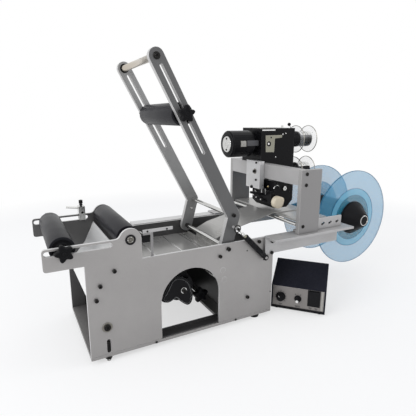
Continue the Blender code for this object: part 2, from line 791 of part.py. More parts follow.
# Ramp from the deck up to the print bed, the bed and the guide rod under the bend
ramp_top = LIFT + BED_HEIGHT
ramp_path = [
    (PANEL_X, LIFT + RAMP_FOOT_Z),
    (RAMP_KNEE_X, LIFT + RAMP_KNEE_Z),
    (BED_FRONT, ramp_top),
    (BED_END, ramp_top),
]
add("ramp", sheet([strip(ramp_path, SHEET)], "Y", -RAMP_WIDTH / 2, RAMP_WIDTH / 2), BRIGHT)
between_near = UPRIGHT_OUTER_NEAR - UPRIGHT_THICK - GAP
between_far = UPRIGHT_OUTER_FAR - UPRIGHT_THICK - GAP
rod_x = BED_FRONT + ROD_AHEAD
rod_z = ramp_top - SHEET - ROD_DROP - ROD_R
add("guide_rod", rod((rod_x, -between_near, rod_z), (rod_x, between_far, rod_z), ROD_R), STEEL)
bed_top = ramp_top - SHEET - GAP
bed_start = RAIL_THICK + GAP - between_near
bed_stop = between_far - RAIL_THICK - GAP
add(
    "print_bed",
    block(BED_END - BED_LENGTH + ROD_R, BED_END, bed_start, bed_stop, bed_top - BED_THICK, bed_top),
    BRIGHT,
)

# Beams outside the plates, rails and uprights on their flanges, cross bar between the uprights
flange_top = LIFT + BEAM_TOP
beam_inner = HALF + GAP
for name, side, outer in (("near", -1, UPRIGHT_OUTER_NEAR), ("far", 1, UPRIGHT_OUTER_FAR)):
    upright_inner = outer - UPRIGHT_THICK
    rail_inner = upright_inner - GAP - RAIL_THICK
    web = rectangle(BEAM_FRONT, BEAM_WEB_END, LIFT + BEAM_LOW, flange_top)
    beam = add(
        "beam_" + name,
        sheet([web], "Y", side * beam_inner, side * (beam_inner + BEAM_THICK)),
        ALUMINIUM,
    )
    flange = helper(
        block(
            BEAM_FRONT,
            BEAM_FLANGE_END,
            min(side * beam_inner, side * (HALF + BEAM_OUT)),
            max(side * beam_inner, side * (HALF + BEAM_OUT)),
            flange_top - BEAM_THICK,
            flange_top,
        )
    )
    combine(beam, [flange], "UNION")
    rail_low = flange_top + GAP
    holes = [
        circle((RAIL_END - RAIL_HOLE_PITCH * (i + 0.5), rail_low + RAIL_HEIGHT / 2), RAIL_HOLE_R, 12)
        for i in range(RAIL_HOLES)
    ]
    leg = rectangle(RAIL_FRONT, RAIL_END, rail_low, rail_low + RAIL_HEIGHT)
    rail = add(
        "rail_" + name,
        sheet([leg] + holes, "Y", side * rail_inner, side * (rail_inner + RAIL_THICK)),
        ALUMINIUM,
    )
    foot = helper(
        block(
            RAIL_FRONT,
            RAIL_END,
            min(side * (rail_inner - RAIL_FOOT), side * (rail_inner + RAIL_THICK / 2)),
            max(side * (rail_inner - RAIL_FOOT), side * (rail_inner + RAIL_THICK / 2)),
            rail_low,
            rail_low + RAIL_THICK,
        )
    )
    combine(rail, [foot], "UNION")
    add(
        "upright_" + name,
        block(
            UPRIGHT_FRONT,
            UPRIGHT_FRONT + UPRIGHT_WIDTH,
            min(side * upright_inner, side * outer),
            max(side * upright_inner, side * outer),
            rail_low,
            rail_low + UPRIGHT_HEIGHT,
        ),
        ALUMINIUM,
    )
bar_top = flange_top + GAP + UPRIGHT_HEIGHT
add(
    "cross_bar",
    block(
        UPRIGHT_FRONT,
        UPRIGHT_FRONT + BAR_DEPTH,
        -between_near,
        between_far,
        bar_top - BAR_HEIGHT,
        bar_top,
    ),
    ALUMINIUM,
)


def roller(radius, bore, end):
    """A covered tube with sunk ends, along Y."""
    rim = radius - ROLLER_RIM
    return [
        (bore, ROLLER_SINK - end),
        (rim, ROLLER_SINK - end),
        (rim, -end),
        (radius, -end),
        (radius, end),
        (rim, end),
        (rim, end - ROLLER_SINK),
        (bore, end - ROLLER_SINK),
    ]


def star_knobs(x, z, face):
    """Two star knobs on one shaft, whose inner faces meet the carrying plates."""
    outline = star((x, z), STAR_R, STAR_WAIST, STAR_POINTS)
    return [
        helper(sheet([outline], "Y", side * face, side * (face + STAR_THICK)))
        for side in (-1, 1)
    ]


# Front roller on its sliding shaft, rear roller in the lobes
front_z = LIFT + SLOT_AXIS
front_axis = (FRONT_ROLLER_X, 0, front_z)
shaft_end = HALF + GAP + STAR_THICK / 2
front_shaft = add(
    "front_shaft",
    rod((FRONT_ROLLER_X, -shaft_end, front_z), (FRONT_ROLLER_X, shaft_end, front_z), SHAFT_R),
    STEEL,
    front_axis,
)
combine(front_shaft, star_knobs(FRONT_ROLLER_X, front_z, HALF + GAP), "UNION")
add(
    "roller_front",
    turned(roller(ROLLER_R, SHAFT_R + GAP, ROLLER_END), front_axis, (0, 1, 0), bored=True),
    RUBBER,
    front_axis,
)
rear_axis = (LOBE_X, 0, LIFT + LOBE_Z)
journal = [
    (BEARING_R - GAP, -HALF),
    (BEARING_R - GAP, -INNER),
    (JOURNAL_R, -INNER),
    (JOURNAL_R, -ROLLER_END),
]
turned_half = journal + [(ROLLER_R, -ROLLER_END)]
add(
    "roller_rear",
    turned(turned_half + [(r, -y) for r, y in reversed(turned_half)], rear_axis, (0, 1, 0)),
    RUBBER,
    rear_axis,
)

# Sensor on its bracket inside the near plate
post_rear = SENSOR_POST_X
bar_low = LIFT + SENSOR_BAR_LOW
bar_high = bar_low + SENSOR_BAR_HEIGHT
bracket = [
    (post_rear - SENSOR_POST_WIDTH, LIFT + SENSOR_POST_LOW),
    (post_rear, LIFT + SENSOR_POST_LOW),
    (post_rear, bar_low),
    (SENSOR_BAR_END, bar_low),
    (SENSOR_BAR_END, bar_high),
    (SENSOR_FRONT, bar_high),
    (SENSOR_FRONT, bar_low),
    (post_rear - SENSOR_POST_WIDTH, bar_low),
]
add("sensor_bracket", sheet([bracket], "Y", -SPAN, SENSOR_BAR_THICK - SPAN), STEEL)
sensor_y = SENSOR_BAR_THICK - SPAN + GAP
sensor_low = LIFT + SENSOR_LOW
sensor_top = sensor_low + SENSOR_HEIGHT
mouth_low = sensor_low + SENSOR_MOUTH
fork = [
    (sensor_y, sensor_low),
    (sensor_y + SENSOR_DEPTH, sensor_low),
    (sensor_y + SENSOR_DEPTH, mouth_low),
    (sensor_y + SENSOR_MOUTH, mouth_low),
    (sensor_y + SENSOR_MOUTH, mouth_low + SENSOR_MOUTH),
    (sensor_y + SENSOR_DEPTH, mouth_low + SENSOR_MOUTH),
    (sensor_y + SENSOR_DEPTH, sensor_top),
    (sensor_y, sensor_top),
]
add("sensor_block", sheet([fork], "X", SENSOR_FRONT, SENSOR_FRONT + SENSOR_LENGTH), BLACK)

# Clamp that straddles the far tongue
clamp_inner = INNER - GAP
clamp_outer = HALF + GAP
groove = LIFT + TONGUE_TOP + GAP
clamp = [
    (clamp_inner - CLAMP_WALL, LIFT + CLAMP_LOW),
    (clamp_inner, LIFT + CLAMP_LOW),
    (clamp_inner, groove),
    (clamp_outer, groove),
    (clamp_outer, LIFT + CLAMP_LOW),
    (clamp_outer + CLAMP_WALL, LIFT + CLAMP_LOW),
    (clamp_outer + CLAMP_WALL, LIFT + CLAMP_TOP),
    (clamp_inner - CLAMP_WALL, LIFT + CLAMP_TOP),
]
clamp_block = add("clamp_block", sheet([clamp], "X", CLAMP_X, CLAMP_X + CLAMP_LENGTH), STEEL)
clamp_y = (clamp_inner + clamp_outer) / 2
pin_z = LIFT + CLAMP_TOP - CLAMP_PIN_DROP
pin_start = (CLAMP_X + CLAMP_LENGTH / 2, clamp_y, pin_z)
pin_end = (CLAMP_X - CLAMP_PIN_LENGTH, clamp_y, LIFT + CLAMP_TOP)
combine(clamp_block, [helper(rod(pin_start, pin_end, CLAMP_PIN_R, 12))], "UNION")
add(
    "clamp_screw",
    turned(
        [
            (CLAMP_SCREW_R, GAP),
            (CLAMP_SCREW_R, CLAMP_SCREW_HEIGHT / 2),
            (CLAMP_SCREW_HEAD_R, CLAMP_SCREW_HEIGHT / 2),
            (CLAMP_SCREW_HEAD_R, CLAMP_SCREW_HEIGHT),
        ],
        (CLAMP_X + CLAMP_LENGTH / 2, clamp_y, LIFT + CLAMP_TOP),
        (0, 0, 1),
        SMALL_ROUND,
    ),
    BLACK,
)

# Press lever: bent slotted arms on the pivot rod, handle rod, sliding press roller
pivot = Vector((PIVOT_X, LIFT + PIVOT_Z))
knee = Vector((KNEE_X, LIFT + KNEE_Z))
top = Vector((LEVER_TOP_X, LIFT + LEVER_TOP_Z))
lever_axis = (PIVOT_X, 0, LIFT + PIVOT_Z)


def crossing(point, direction, other, other_direction):
    """Where two lines in a plane meet."""
    span = direction.x * other_direction.y - direction.y * other_direction.x
    gap = other - point
    return point + direction * ((gap.x * other_direction.y - gap.y * other_direction.x) / span)


def arm_outline():
    upper = (top - knee).normalized()
    lower = (knee - pivot).normalized()
    ahead_upper = Vector((-upper.y, upper.x))
    ahead_lower = Vector((-lower.y, lower.x))
    foot_side = pivot + ahead_lower * ARM_FOOT_R
    corner = crossing(foot_side, lower, knee + ahead_upper * ARM_HALF, upper)
    high = math.degrees(math.atan2(upper.y, upper.x))
    low = math.degrees(math.atan2(lower.y, lower.x))
    return (
        arc(top, ARM_HALF, high - 90, high + 90, 10)
        + [tuple(corner)]
        + arc(pivot, ARM_FOOT_R, low + 90, low + 270, 10)
        + arc(knee, ARM_HALF, low - 90, high - 90, 4)
    )


def arm_holes():
    along = (knee - top).normalized()
    slot = capsule(tuple(top + along * ARM_SLOT_NEAR), tuple(top + along * ARM_SLOT_FAR), ARM_SLOT_R)
    return [slot, circle(tuple(pivot), PIVOT_R + GAP, SMALL_ROUND)]


arm_inner = ARM_OUTER - ARM_THICK
arm_near = add(
    "arm_near", sheet([arm_outline()] + arm_holes(), "Y", -ARM_OUTER, -arm_inner), ALUMINIUM, lever_axis
)
hook_z = LIFT + HOOK_Z
hook_pin = rod(
    (HOOK_X, -ARM_OUTER + ARM_THICK / 2, hook_z), (HOOK_X, -PIN_REACH, hook_z), HOOK_PIN_R, 12
)
combine(arm_near, [helper(hook_pin)], "UNION")
add("arm_far", sheet([arm_outline()] + arm_holes(), "Y", arm_inner, ARM_OUTER), ALUMINIUM, lever_axis)
handle_end = arm_inner - GAP
add(
    "handle_rod",
    rod((top.x, -handle_end, top.y), (top.x, handle_end, top.y), HANDLE_R),
    STEEL,
    lever_axis,
)
add(
    "knee_rod",
    rod((knee.x, -handle_end, knee.y), (knee.x, handle_end, knee.y), KNEE_ROD_R),
    STEEL,
    lever_axis,
)
add(
    "lever_axle",
    rod((pivot.x, -HALF, pivot.y), (pivot.x, HALF, pivot.y), PIVOT_R),
    STEEL,
)
press = top + (knee - top).normalized() * PRESS_ALONG
press_axis = (press.x, 0, press.y)
press_end = ARM_OUTER + GAP + STAR_THICK / 2
press_stud_r = ARM_SLOT_R - GAP
shoulder = arm_inner - GAP
half_shaft = [(press_stud_r, -press_end), (press_stud_r, -shoulder), (SHAFT_R, -shoulder)]
press_shaft = add(
    "press_shaft",
    turned(half_shaft + [(r, -y) for r, y in reversed(half_shaft)], press_axis, (0, 1, 0), SMALL_ROUND),
    STEEL,
    press_axis,
)
combine(press_shaft, star_knobs(press.x, press.y, ARM_OUTER + GAP), "UNION")
add(
    "press_roller",
    turned(roller(PRESS_ROLLER_R, SHAFT_R + GAP, PRESS_ROLLER_END), press_axis, (0, 1, 0), bored=True),
    RUBBER,
    press_axis,
)

# Return spring: sleeve with an eye on the plate stud, core with a ring on the arm's pin
stud_z = LIFT + STUD_Z
spring_y = -SPRING_PLANE
eye_y = spring_y - EYE_THICK / 2
eye_axis = (STUD_X, spring_y, stud_z)
ring_axis = (HOOK_X, spring_y, hook_z)
pull = (Vector(ring_axis) - Vector(eye_axis)).normalized()
sleeve_start = Vector(eye_axis) + pull * SLEEVE_START
sleeve = add(
    "spring_sleeve",
    turned(
        [(SLEEVE_R, 0), (SLEEVE_R, SLEEVE_LENGTH), (SLEEVE_BORE, SLEEVE_LENGTH), (SLEEVE_BORE, EYE_THICK)],
        sleeve_start,
        pull,
        20,
    ),
    RUBBER,
    eye_axis,
)
eye = turned(
    [(STUD_R + GAP, 0), (EYE_R, 0), (EYE_R, EYE_THICK), (STUD_R + GAP, EYE_THICK)],
    (STUD_X, eye_y, stud_z),
    (0, 1, 0),
    20,
    bored=True,
)
neck_start = Vector(eye_axis) + pull * (STUD_R + EYE_R) / 2
neck = rod(neck_start, sleeve_start + pull * EYE_THICK / 2, EYE_THICK / 2, 12)
combine(sleeve, [helper(eye), helper(neck)], "UNION")
ring = turned(
    [
        (HOOK_RING_BORE, 0),
        (HOOK_RING_R, 0),
        (HOOK_RING_R, EYE_THICK),
        (HOOK_RING_BORE, EYE_THICK),
    ],
    (HOOK_X, eye_y, hook_z),
    (0, 1, 0),
    20,
    bored=True,
)
hook = add("spring_hook", ring, STEEL, eye_axis)
core_start = sleeve_start + pull * (SLEEVE_LENGTH - SPRING_DIP)
core_end = Vector(ring_axis) - pull * (HOOK_RING_R + HOOK_RING_BORE) / 2
combine(hook, [helper(rod(core_start, core_end, SPRING_CORE_R, SMALL_ROUND))], "UNION")

# Drive under the rear cover, with its belt in a cover outside the far plate
belt_y = HALF + PULLEY_START
motor_axis = (MOTOR_X, 0, LIFT + MOTOR_Z)
traction_axis = (TRACTION_X, 0, LIFT + TRACTION_Z)
takeup_axis = (TAKEUP_X, 0, LIFT + TAKEUP_Z)
pinch_x, pinch_z = pinch_centre()
pinch_axis = (pinch_x, 0, pinch_z)
motor_face = INNER - GAP
add(
    "drive_motor",
    turned(
        [
            (MOTOR_R - MOTOR_CHAMFER, motor_face - MOTOR_LENGTH),
            (MOTOR_R, motor_face - MOTOR_LENGTH + MOTOR_CHAMFER),
            (MOTOR_R, motor_face - GAP),
            (MOTOR_BOSS_R, motor_face - GAP),
            (MOTOR_BOSS_R, motor_face - GAP - MOTOR_BOSS),
        ],
        motor_axis,
        (0, 1, 0),
    ),
    BLACK_METAL,
)


def pulley(start):
    """Shaft end and pulley outside the far plate, as a profile along Y."""
    return [
        (SHAFT_R, start),
        (SHAFT_R, belt_y),
        (PULLEY_R, belt_y),
        (PULLEY_R, belt_y + PULLEY_WIDTH),
    ]


add(
    "motor_pulley",
    turned(pulley(motor_face - MOTOR_BOSS_R), motor_axis, (0, 1, 0), 24),
    STEEL,
    motor_axis,
)
under_end = INNER - GAP
add(
    "traction_roller",
    turned(
        [(SHAFT_R, -HALF), (SHAFT_R, -under_end), (TRACTION_R, -under_end), (TRACTION_R, under_end)]
        + pulley(under_end),
        traction_axis,
        (0, 1, 0),
        24,
    ),
    RUBBER,
    traction_axis,
)
add(
    "pinch_roller",
    turned(
        [
            (SHAFT_R, -HALF),
            (SHAFT_R, -under_end),
            (PINCH_R, -under_end),
            (PINCH_R, under_end),
            (SHAFT_R, under_end),
            (SHAFT_R, HALF),
        ],
        pinch_axis,
        (0, 1, 0),
        20,
    ),
    STEEL,
    pinch_axis,
)
takeup_near = -TAKEUP_NEAR
star_back = takeup_near - TAKEUP_STAR_THICK
takeup = add(
    "takeup_spool",
    turned(
        [
            (TAKEUP_NUT_R, star_back - TAKEUP_NUT),
            (TAKEUP_NUT_R, takeup_near),
            (TAKEUP_FLANGE_R, takeup_near),
            (TAKEUP_FLANGE_R, takeup_near + TAKEUP_FLANGE),
            (TAKEUP_CORE_R, takeup_near + TAKEUP_FLANGE),
            (TAKEUP_CORE_R, under_end - TAKEUP_FLANGE),
            (TAKEUP_FLANGE_R, under_end - TAKEUP_FLANGE),
            (TAKEUP_FLANGE_R, under_end),
            (JOURNAL_R, under_end),
            (JOURNAL_R, belt_y),
            (PULLEY_R, belt_y),
            (PULLEY_R, belt_y + PULLEY_WIDTH),
        ],
        takeup_axis,
        (0, 1, 0),
        24,
    ),
    BLACK,
    takeup_axis,
)
takeup_star = star((TAKEUP_X, takeup_axis[2]), TAKEUP_STAR_R, TAKEUP_STAR_WAIST, 3, 40.0)
star_front = takeup_near + TAKEUP_FLANGE / 2
combine(takeup, [helper(sheet([takeup_star], "Y", star_back, star_front))], "UNION")
wheels = [(MOTOR_X, motor_axis[2]), (TRACTION_X, traction_axis[2]), (TAKEUP_X, takeup_axis[2])]
belt_in = hull([p for c in wheels for p in circle(c, PULLEY_R + GAP, 48)])
belt_out = hull([p for c in wheels for p in circle(c, PULLEY_R + GAP + BELT_THICK, 48)])
belt_start = belt_y + (PULLEY_WIDTH - BELT_WIDTH) / 2
add("drive_belt", sheet([belt_out, belt_in], "Y", belt_start, belt_start + BELT_WIDTH), RUBBER)
shell_start = HALF + GAP
drive_cover_front = TAKEUP_X - DRIVE_COVER_AHEAD
drive_cover_rear = MOTOR_X + DRIVE_COVER_BEHIND
shell = add(
    "drive_cover",
    block(
        drive_cover_front,
        drive_cover_rear,
        shell_start,
        HALF + DRIVE_COVER_DEPTH,
        LIFT + DRIVE_COVER_LOW,
        LIFT + DRIVE_COVER_TOP,
    ),
    ALUMINIUM,
)
hollow = block(
    drive_cover_front + COVER_WALL,
    drive_cover_rear - COVER_WALL,
    shell_start - CUT_OVERRUN,
    HALF + DRIVE_COVER_DEPTH - COVER_WALL,
    LIFT + DRIVE_COVER_LOW + COVER_WALL,
    LIFT + DRIVE_COVER_TOP - COVER_WALL,
)
combine(shell, [helper(hollow)], "DIFFERENCE")

# Label reel on an arm inside the far beam
reel_z = LIFT + REEL_Z
reel_axis = (REEL_X, 0, reel_z)
arm_far_face = HALF
boss = arc((REEL_X, reel_z), REEL_ARM_BOSS_R, -90, 90, 12)
reel_arm_outline = (
    [(REEL_ARM_FRONT, reel_z - REEL_ARM_BELOW), (REEL_ARM_BEND, reel_z - REEL_ARM_BELOW)]
    + boss
    + [(REEL_ARM_BEND, reel_z + REEL_ARM_ABOVE), (REEL_ARM_FRONT, reel_z + REEL_ARM_ABOVE)]
)
reel_arm = add(
    "reel_arm",
    sheet([reel_arm_outline], "Y", arm_far_face - REEL_ARM_THICK, arm_far_face),
    ALUMINIUM,
)
hub_end = -REEL_NEAR - REEL_DISC - HUB_REACH
shaft_root = (REEL_X, arm_far_face - REEL_ARM_THICK / 2, reel_z)
reel_shaft = rod(shaft_root, (REEL_X, hub_end, reel_z), REEL_SHAFT_R, 20)
combine(reel_arm, [helper(reel_shaft)], "UNION")
reel_bore = REEL_SHAFT_R + GAP
neck_r = REEL_CORE_R - REEL_SHOULDER
add(
    "reel_core",
    turned(
        [
            (reel_bore, hub_end),
            (HUB_TIP_R, hub_end),
            (REEL_CORE_R + REEL_SHOULDER, -REEL_NEAR - REEL_DISC - HUB_LIP),
            (REEL_CORE_R + REEL_SHOULDER, -REEL_NEAR - REEL_DISC - GAP),
            (neck_r, -REEL_NEAR - REEL_DISC - GAP),
            (neck_r, -REEL_NEAR + GAP),
            (REEL_CORE_R, -REEL_NEAR + GAP),
            (REEL_CORE_R, REEL_FAR - GAP),
            (neck_r, REEL_FAR - GAP),
            (neck_r, REEL_FAR + REEL_DISC + GAP),
            (REEL_CORE_R + REEL_SHOULDER, REEL_FAR + REEL_DISC + GAP),
            (REEL_CORE_R + REEL_SHOULDER, REEL_FAR + REEL_DISC + HUB_LIP),
            (reel_bore, REEL_FAR + REEL_DISC + HUB_LIP),
        ],
        reel_axis,
        (0, 1, 0),
        bored=True,
    ),
    BLACK,
    reel_axis,
)
for name, start in (("near", -REEL_NEAR - REEL_DISC), ("far", REEL_FAR)):
    add(
        "reel_disc_" + name,
        turned(
            [
                (neck_r + GAP, start),
                (REEL_R, start),
                (REEL_R, start + REEL_DISC),
                (neck_r + GAP, start + REEL_DISC),
            ],
            reel_axis,
            (0, 1, 0),
            48,
            bored=True,
        ),
        BLUE,
        reel_axis,
    )

# Date coder behind the cross bar
coder_front = UPRIGHT_FRONT + GAP
coder_step_z = bar_top + GAP
body_outline = [
    (coder_front, coder_step_z),
    (CODER_STEP_X, coder_step_z),
    (CODER_STEP_X, LIFT + CODER_LOW),
    (CODER_REAR, LIFT + CODER_LOW),
    (CODER_REAR, LIFT + CODER_TOP),
    (coder_front, LIFT + CODER_TOP),
]
coder = add(
    "coder_body",
    sheet([body_outline], "Y", CODER_NEAR, CODER_NEAR + CODER_WIDTH),
    BLACK_METAL,
)
ribbon_plate = helper(
    block(
        CODER_REAR - RIBBON_PLATE_THICK / 2,
        CODER_REAR + RIBBON_PLATE_THICK,
        RIBBON_PLATE_NEAR,
        RIBBON_PLATE_FAR,
        LIFT + RIBBON_PLATE_LOW,
        LIFT + CODER_TOP,
    )
)
pin_rear = RIBBON_FIRST_X + RIBBON_SPACING + RIBBON_DISC * 2
pins = [
    helper(rod((CODER_REAR, RIBBON_Y, LIFT + z), (pin_rear, RIBBON_Y, LIFT + z), RIBBON_PIN_R, 16))
    for z in (RIBBON_UPPER_Z, RIBBON_LOWER_Z)
]
combine(coder, [ribbon_plate, *pins], "UNION")
post_bottom = LIFT + CODER_LOW
bores = [
    helper(
        rod(
            (HEAD_POST_X + i * HEAD_POST_SPACING, HEAD_POST_Y, post_bottom - CUT_OVERRUN),
            (HEAD_POST_X + i * HEAD_POST_SPACING, HEAD_POST_Y, post_bottom + HEAD_POST_DIP + CUT_OVERRUN),
            HEAD_POST_R + GAP,
            16,
        )
    )
    for i in range(2)
]
combine(coder, bores, "DIFFERENCE")
add(
    "coder_motor",
    turned(
        [
            (CODER_MOTOR_R - CODER_MOTOR_CHAMFER, 0),
            (CODER_MOTOR_R, CODER_MOTOR_CHAMFER),
            (CODER_MOTOR_R, coder_front - GAP - CODER_MOTOR_NECK - CODER_MOTOR_FRONT),
            (CODER_MOTOR_NECK_R, coder_front - GAP - CODER_MOTOR_NECK - CODER_MOTOR_FRONT),
            (CODER_MOTOR_NECK_R, coder_front - GAP - CODER_MOTOR_FRONT),
        ],
        (CODER_MOTOR_FRONT, CODER_MOTOR_Y, LIFT + CODER_MOTOR_Z),
        (1, 0, 0),
    ),
    BLACK_METAL,
)
for name, z in (("upper", RIBBON_UPPER_Z), ("lower", RIBBON_LOWER_Z)):
    spool_axis = (RIBBON_FIRST_X, RIBBON_Y, LIFT + z)
    spool_bore = RIBBON_PIN_R + GAP
    spool_front = CODER_REAR + RIBBON_PLATE_THICK + GAP - RIBBON_FIRST_X
    second = RIBBON_SPACING
    add(
        "ribbon_spool_" + name,
        turned(
            [
                (spool_bore, spool_front),
                (RIBBON_CORE_R, spool_front),
                (RIBBON_CORE_R, 0),
                (RIBBON_DISC_R, 0),
                (RIBBON_DISC_R, RIBBON_DISC),
                (RIBBON_CORE_R, RIBBON_DISC),
                (RIBBON_CORE_R, second),
                (RIBBON_DISC_R, second),
                (RIBBON_DISC_R, second + RIBBON_DISC),
                (spool_bore, second + RIBBON_DISC),
            ],
            spool_axis,
            (1, 0, 0),
            bored=True,
        ),
        CLEAR,
        spool_axis,
    )
adapter_low = LIFT + ADAPTER_LOW
add(
    "adapter_plate",
    sheet(
        [rectangle(ADAPTER_NEAR, ADAPTER_FAR, adapter_low, adapter_low + ADAPTER_HEIGHT)],
        "X",
        UPRIGHT_FRONT - GAP - ADAPTER_THICK,
        UPRIGHT_FRONT - GAP,
    ),
    ALUMINIUM,
)

# Print head with its knob and lever
head_low = LIFT + HEAD_LOW
head_outline = [
    (HEAD_FRONT, head_low + HEAD_NOSE),
    (HEAD_FRONT + HEAD_NOSE, head_low),
    (HEAD_REAR - HEAD_CHAMFER, head_low),
    (HEAD_REAR, head_low + HEAD_CHAMFER),
    (HEAD_REAR, LIFT + HEAD_TOP),
    (HEAD_SHOULDER_X, LIFT + HEAD_TOP),
    (HEAD_SHOULDER_X, LIFT + HEAD_SHOULDER),
    (HEAD_FRONT, LIFT + HEAD_SHOULDER),
]
head = add("print_head", sheet([head_outline], "Y", HEAD_NEAR, HEAD_FAR), BLACK_METAL)
posts = [
    helper(
        rod(
            (HEAD_POST_X + i * HEAD_POST_SPACING, HEAD_POST_Y, LIFT + HEAD_TOP - CUT_OVERRUN),
            (HEAD_POST_X + i * HEAD_POST_SPACING, HEAD_POST_Y, post_bottom + HEAD_POST_DIP),
            HEAD_POST_R,
            16,
        )
    )
    for i in range(2)
]
lever_z = LIFT + HEAD_SHOULDER - HEAD_LEVER_DROP
lever_start = (HEAD_FRONT + CUT_OVERRUN, HEAD_LEVER_Y, lever_z)
lever_end = (HEAD_FRONT - HEAD_LEVER_REACH, HEAD_LEVER_Y, lever_z + HEAD_LEVER_RISE)
combine(head, [*posts, helper(rod(lever_start, lever_end, HEAD_LEVER_R, 12))], "UNION")
head_knob_axis = (HEAD_KNOB_X, HEAD_NEAR, LIFT + HEAD_KNOB_Z)
add(
    "head_knob",
    turned(
        [
            (HEAD_KNOB_R - HEAD_KNOB_CHAMFER, -HEAD_KNOB_THICK),
            (HEAD_KNOB_R, HEAD_KNOB_CHAMFER - HEAD_KNOB_THICK),
            (HEAD_KNOB_R, -GAP),
        ],
        head_knob_axis,
        (0, 1, 0),
        28,
    ),
    CREAM,
    head_knob_axis,
)

# Control box, standing apart beside the rear of the machine
box_root = bpy.data.objects.new("box_root", None)
bpy.context.scene.collection.objects.link(box_root)
box_root.location = (BOX_X, BOX_Y, 0)
box_root.rotation_euler = (0, 0, BOX_YAW)
box_root.parent = root
box_outline = [
    (0, BOX_FOOT),
    (BOX_DEPTH, BOX_FOOT),
    (BOX_DEPTH, BOX_BACK_HEIGHT),
    (0, BOX_FRONT_HEIGHT),
]
box = add("control_box", sheet([box_outline], "X", 0, BOX_WIDTH), BOX_PAINT, parent=box_root)


def box_helper(bm):
    piece = helper(bm)
    piece.parent = box_root
    return piece


feet = [
    box_helper(rod((x, y, 0), (x, y, BOX_FOOT + BOX_FOOT_ROOT), BOX_FOOT_R, 12))
    for x in (BOX_FOOT_INSET, BOX_WIDTH - BOX_FOOT_INSET)
    for y in (BOX_FOOT_INSET, BOX_DEPTH - BOX_FOOT_INSET)
]
combine(box, feet, "UNION")
face_y = BOX_RECESS
rocker_x = BOX_WIDTH * ROCKER_SHARE
rocker_z = BOX_FOOT + (BOX_FRONT_HEIGHT - BOX_FOOT) * ROCKER_HEIGHT_SHARE
pocket_half = ROCKER_HALF + ROCKER_SWING
recess = block(
    BOX_RIM,
    BOX_WIDTH - BOX_RIM,
    -CUT_OVERRUN,
    face_y,
    BOX_FOOT + BOX_RIM,
    BOX_FRONT_HEIGHT - BOX_RIM,
)
pocket = block(
    rocker_x - ROCKER_WIDTH / 2 - GAP,
    rocker_x + ROCKER_WIDTH / 2 + GAP,
    -CUT_OVERRUN,
    POCKET_DEPTH,
    rocker_z - pocket_half,
    rocker_z + pocket_half,
)
combine(box, [box_helper(recess), box_helper(pocket)], "DIFFERENCE")
switch_z = BOX_FRONT_HEIGHT * SWITCH_HEIGHT_SHARE
knob_axis = (BOX_WIDTH * KNOB_SHARE, face_y, switch_z)
add(
    "box_knob",
    turned(
        [
            (KNOB_R - KNOB_CHAMFER, -KNOB_LENGTH),
            (KNOB_R, KNOB_CHAMFER - KNOB_LENGTH),
            (KNOB_R, -GAP),
        ],
        knob_axis,
        (0, 1, 0),
        24,
    ),
    BLACK,
    knob_axis,
    box_root,
)
toggle_axis = (BOX_WIDTH * TOGGLE_SHARE, face_y, switch_z)
add(
    "box_switch",
    turned(
        [
            (TOGGLE_R - TOGGLE_CHAMFER, -TOGGLE_LENGTH),
            (TOGGLE_R, TOGGLE_CHAMFER - TOGGLE_LENGTH),
            (TOGGLE_R, -GAP),
        ],
        toggle_axis,
        (0, 1, 0),
        20,
    ),
    BLACK,
    toggle_axis,
    box_root,
)
rocker_y = face_y + ROCKER_SINK
rocker_outline = [
    (rocker_y - ROCKER_FRONT, rocker_z - ROCKER_HALF),
    (rocker_y + ROCKER_BACK, rocker_z - ROCKER_HALF + ROCKER_TAPER),
    (rocker_y + ROCKER_BACK, rocker_z + ROCKER_HALF - ROCKER_TAPER),
    (rocker_y - ROCKER_FRONT, rocker_z + ROCKER_HALF),
    (rocker_y - ROCKER_WAIST, rocker_z),
]
add(
    "box_rocker",
    sheet([rocker_outline], "X", rocker_x - ROCKER_WIDTH / 2, rocker_x + ROCKER_WIDTH / 2),
    BLACK,
    (rocker_x, rocker_y, rocker_z),
    box_root,
)

# The origin goes to the middle of the footprint, on the bench
bpy.context.view_layer.update()
corners = [
    piece.matrix_world @ vertex.co
    for piece in bpy.data.objects
    if piece.type == "MESH"
    for vertex in piece.data.vertices
]
middle_x = (min(c.x for c in corners) + max(c.x for c in corners)) / 2
middle_y = (min(c.y for c in corners) + max(c.y for c in corners)) / 2
root.location = (-middle_x, -middle_y, 0)
bpy.context.view_layer.update()
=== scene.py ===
import math

import bmesh
import bpy
from mathutils import Matrix, Vector


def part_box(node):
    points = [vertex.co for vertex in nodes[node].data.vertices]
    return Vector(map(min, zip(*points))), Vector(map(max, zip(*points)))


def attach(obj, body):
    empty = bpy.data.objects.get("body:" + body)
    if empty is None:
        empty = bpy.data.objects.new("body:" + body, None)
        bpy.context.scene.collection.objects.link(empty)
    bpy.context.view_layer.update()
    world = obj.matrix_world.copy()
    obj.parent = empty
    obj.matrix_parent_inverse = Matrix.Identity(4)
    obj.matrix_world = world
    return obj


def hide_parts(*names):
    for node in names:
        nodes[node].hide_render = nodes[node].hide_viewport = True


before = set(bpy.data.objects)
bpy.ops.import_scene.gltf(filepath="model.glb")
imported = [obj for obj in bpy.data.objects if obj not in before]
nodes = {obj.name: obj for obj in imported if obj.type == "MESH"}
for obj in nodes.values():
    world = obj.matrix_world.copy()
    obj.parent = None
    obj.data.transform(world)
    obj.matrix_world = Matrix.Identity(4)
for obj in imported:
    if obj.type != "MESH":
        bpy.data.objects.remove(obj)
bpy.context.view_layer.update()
print("frame: packed model loaded")

# machine coordinates in millimetres: X from the plates' front edge, Y from the middle, Z from the bench
plateLength = 0.392
plateFace = 108   # outer face of a side plate in Y
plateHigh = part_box("plate_far")[1]
originX = plateHigh.x - plateLength
originY = plateHigh.y - plateFace / 1000


def spot(x, y, z):
    return Vector((originX + x / 1000, originY + y / 1000, z / 1000))


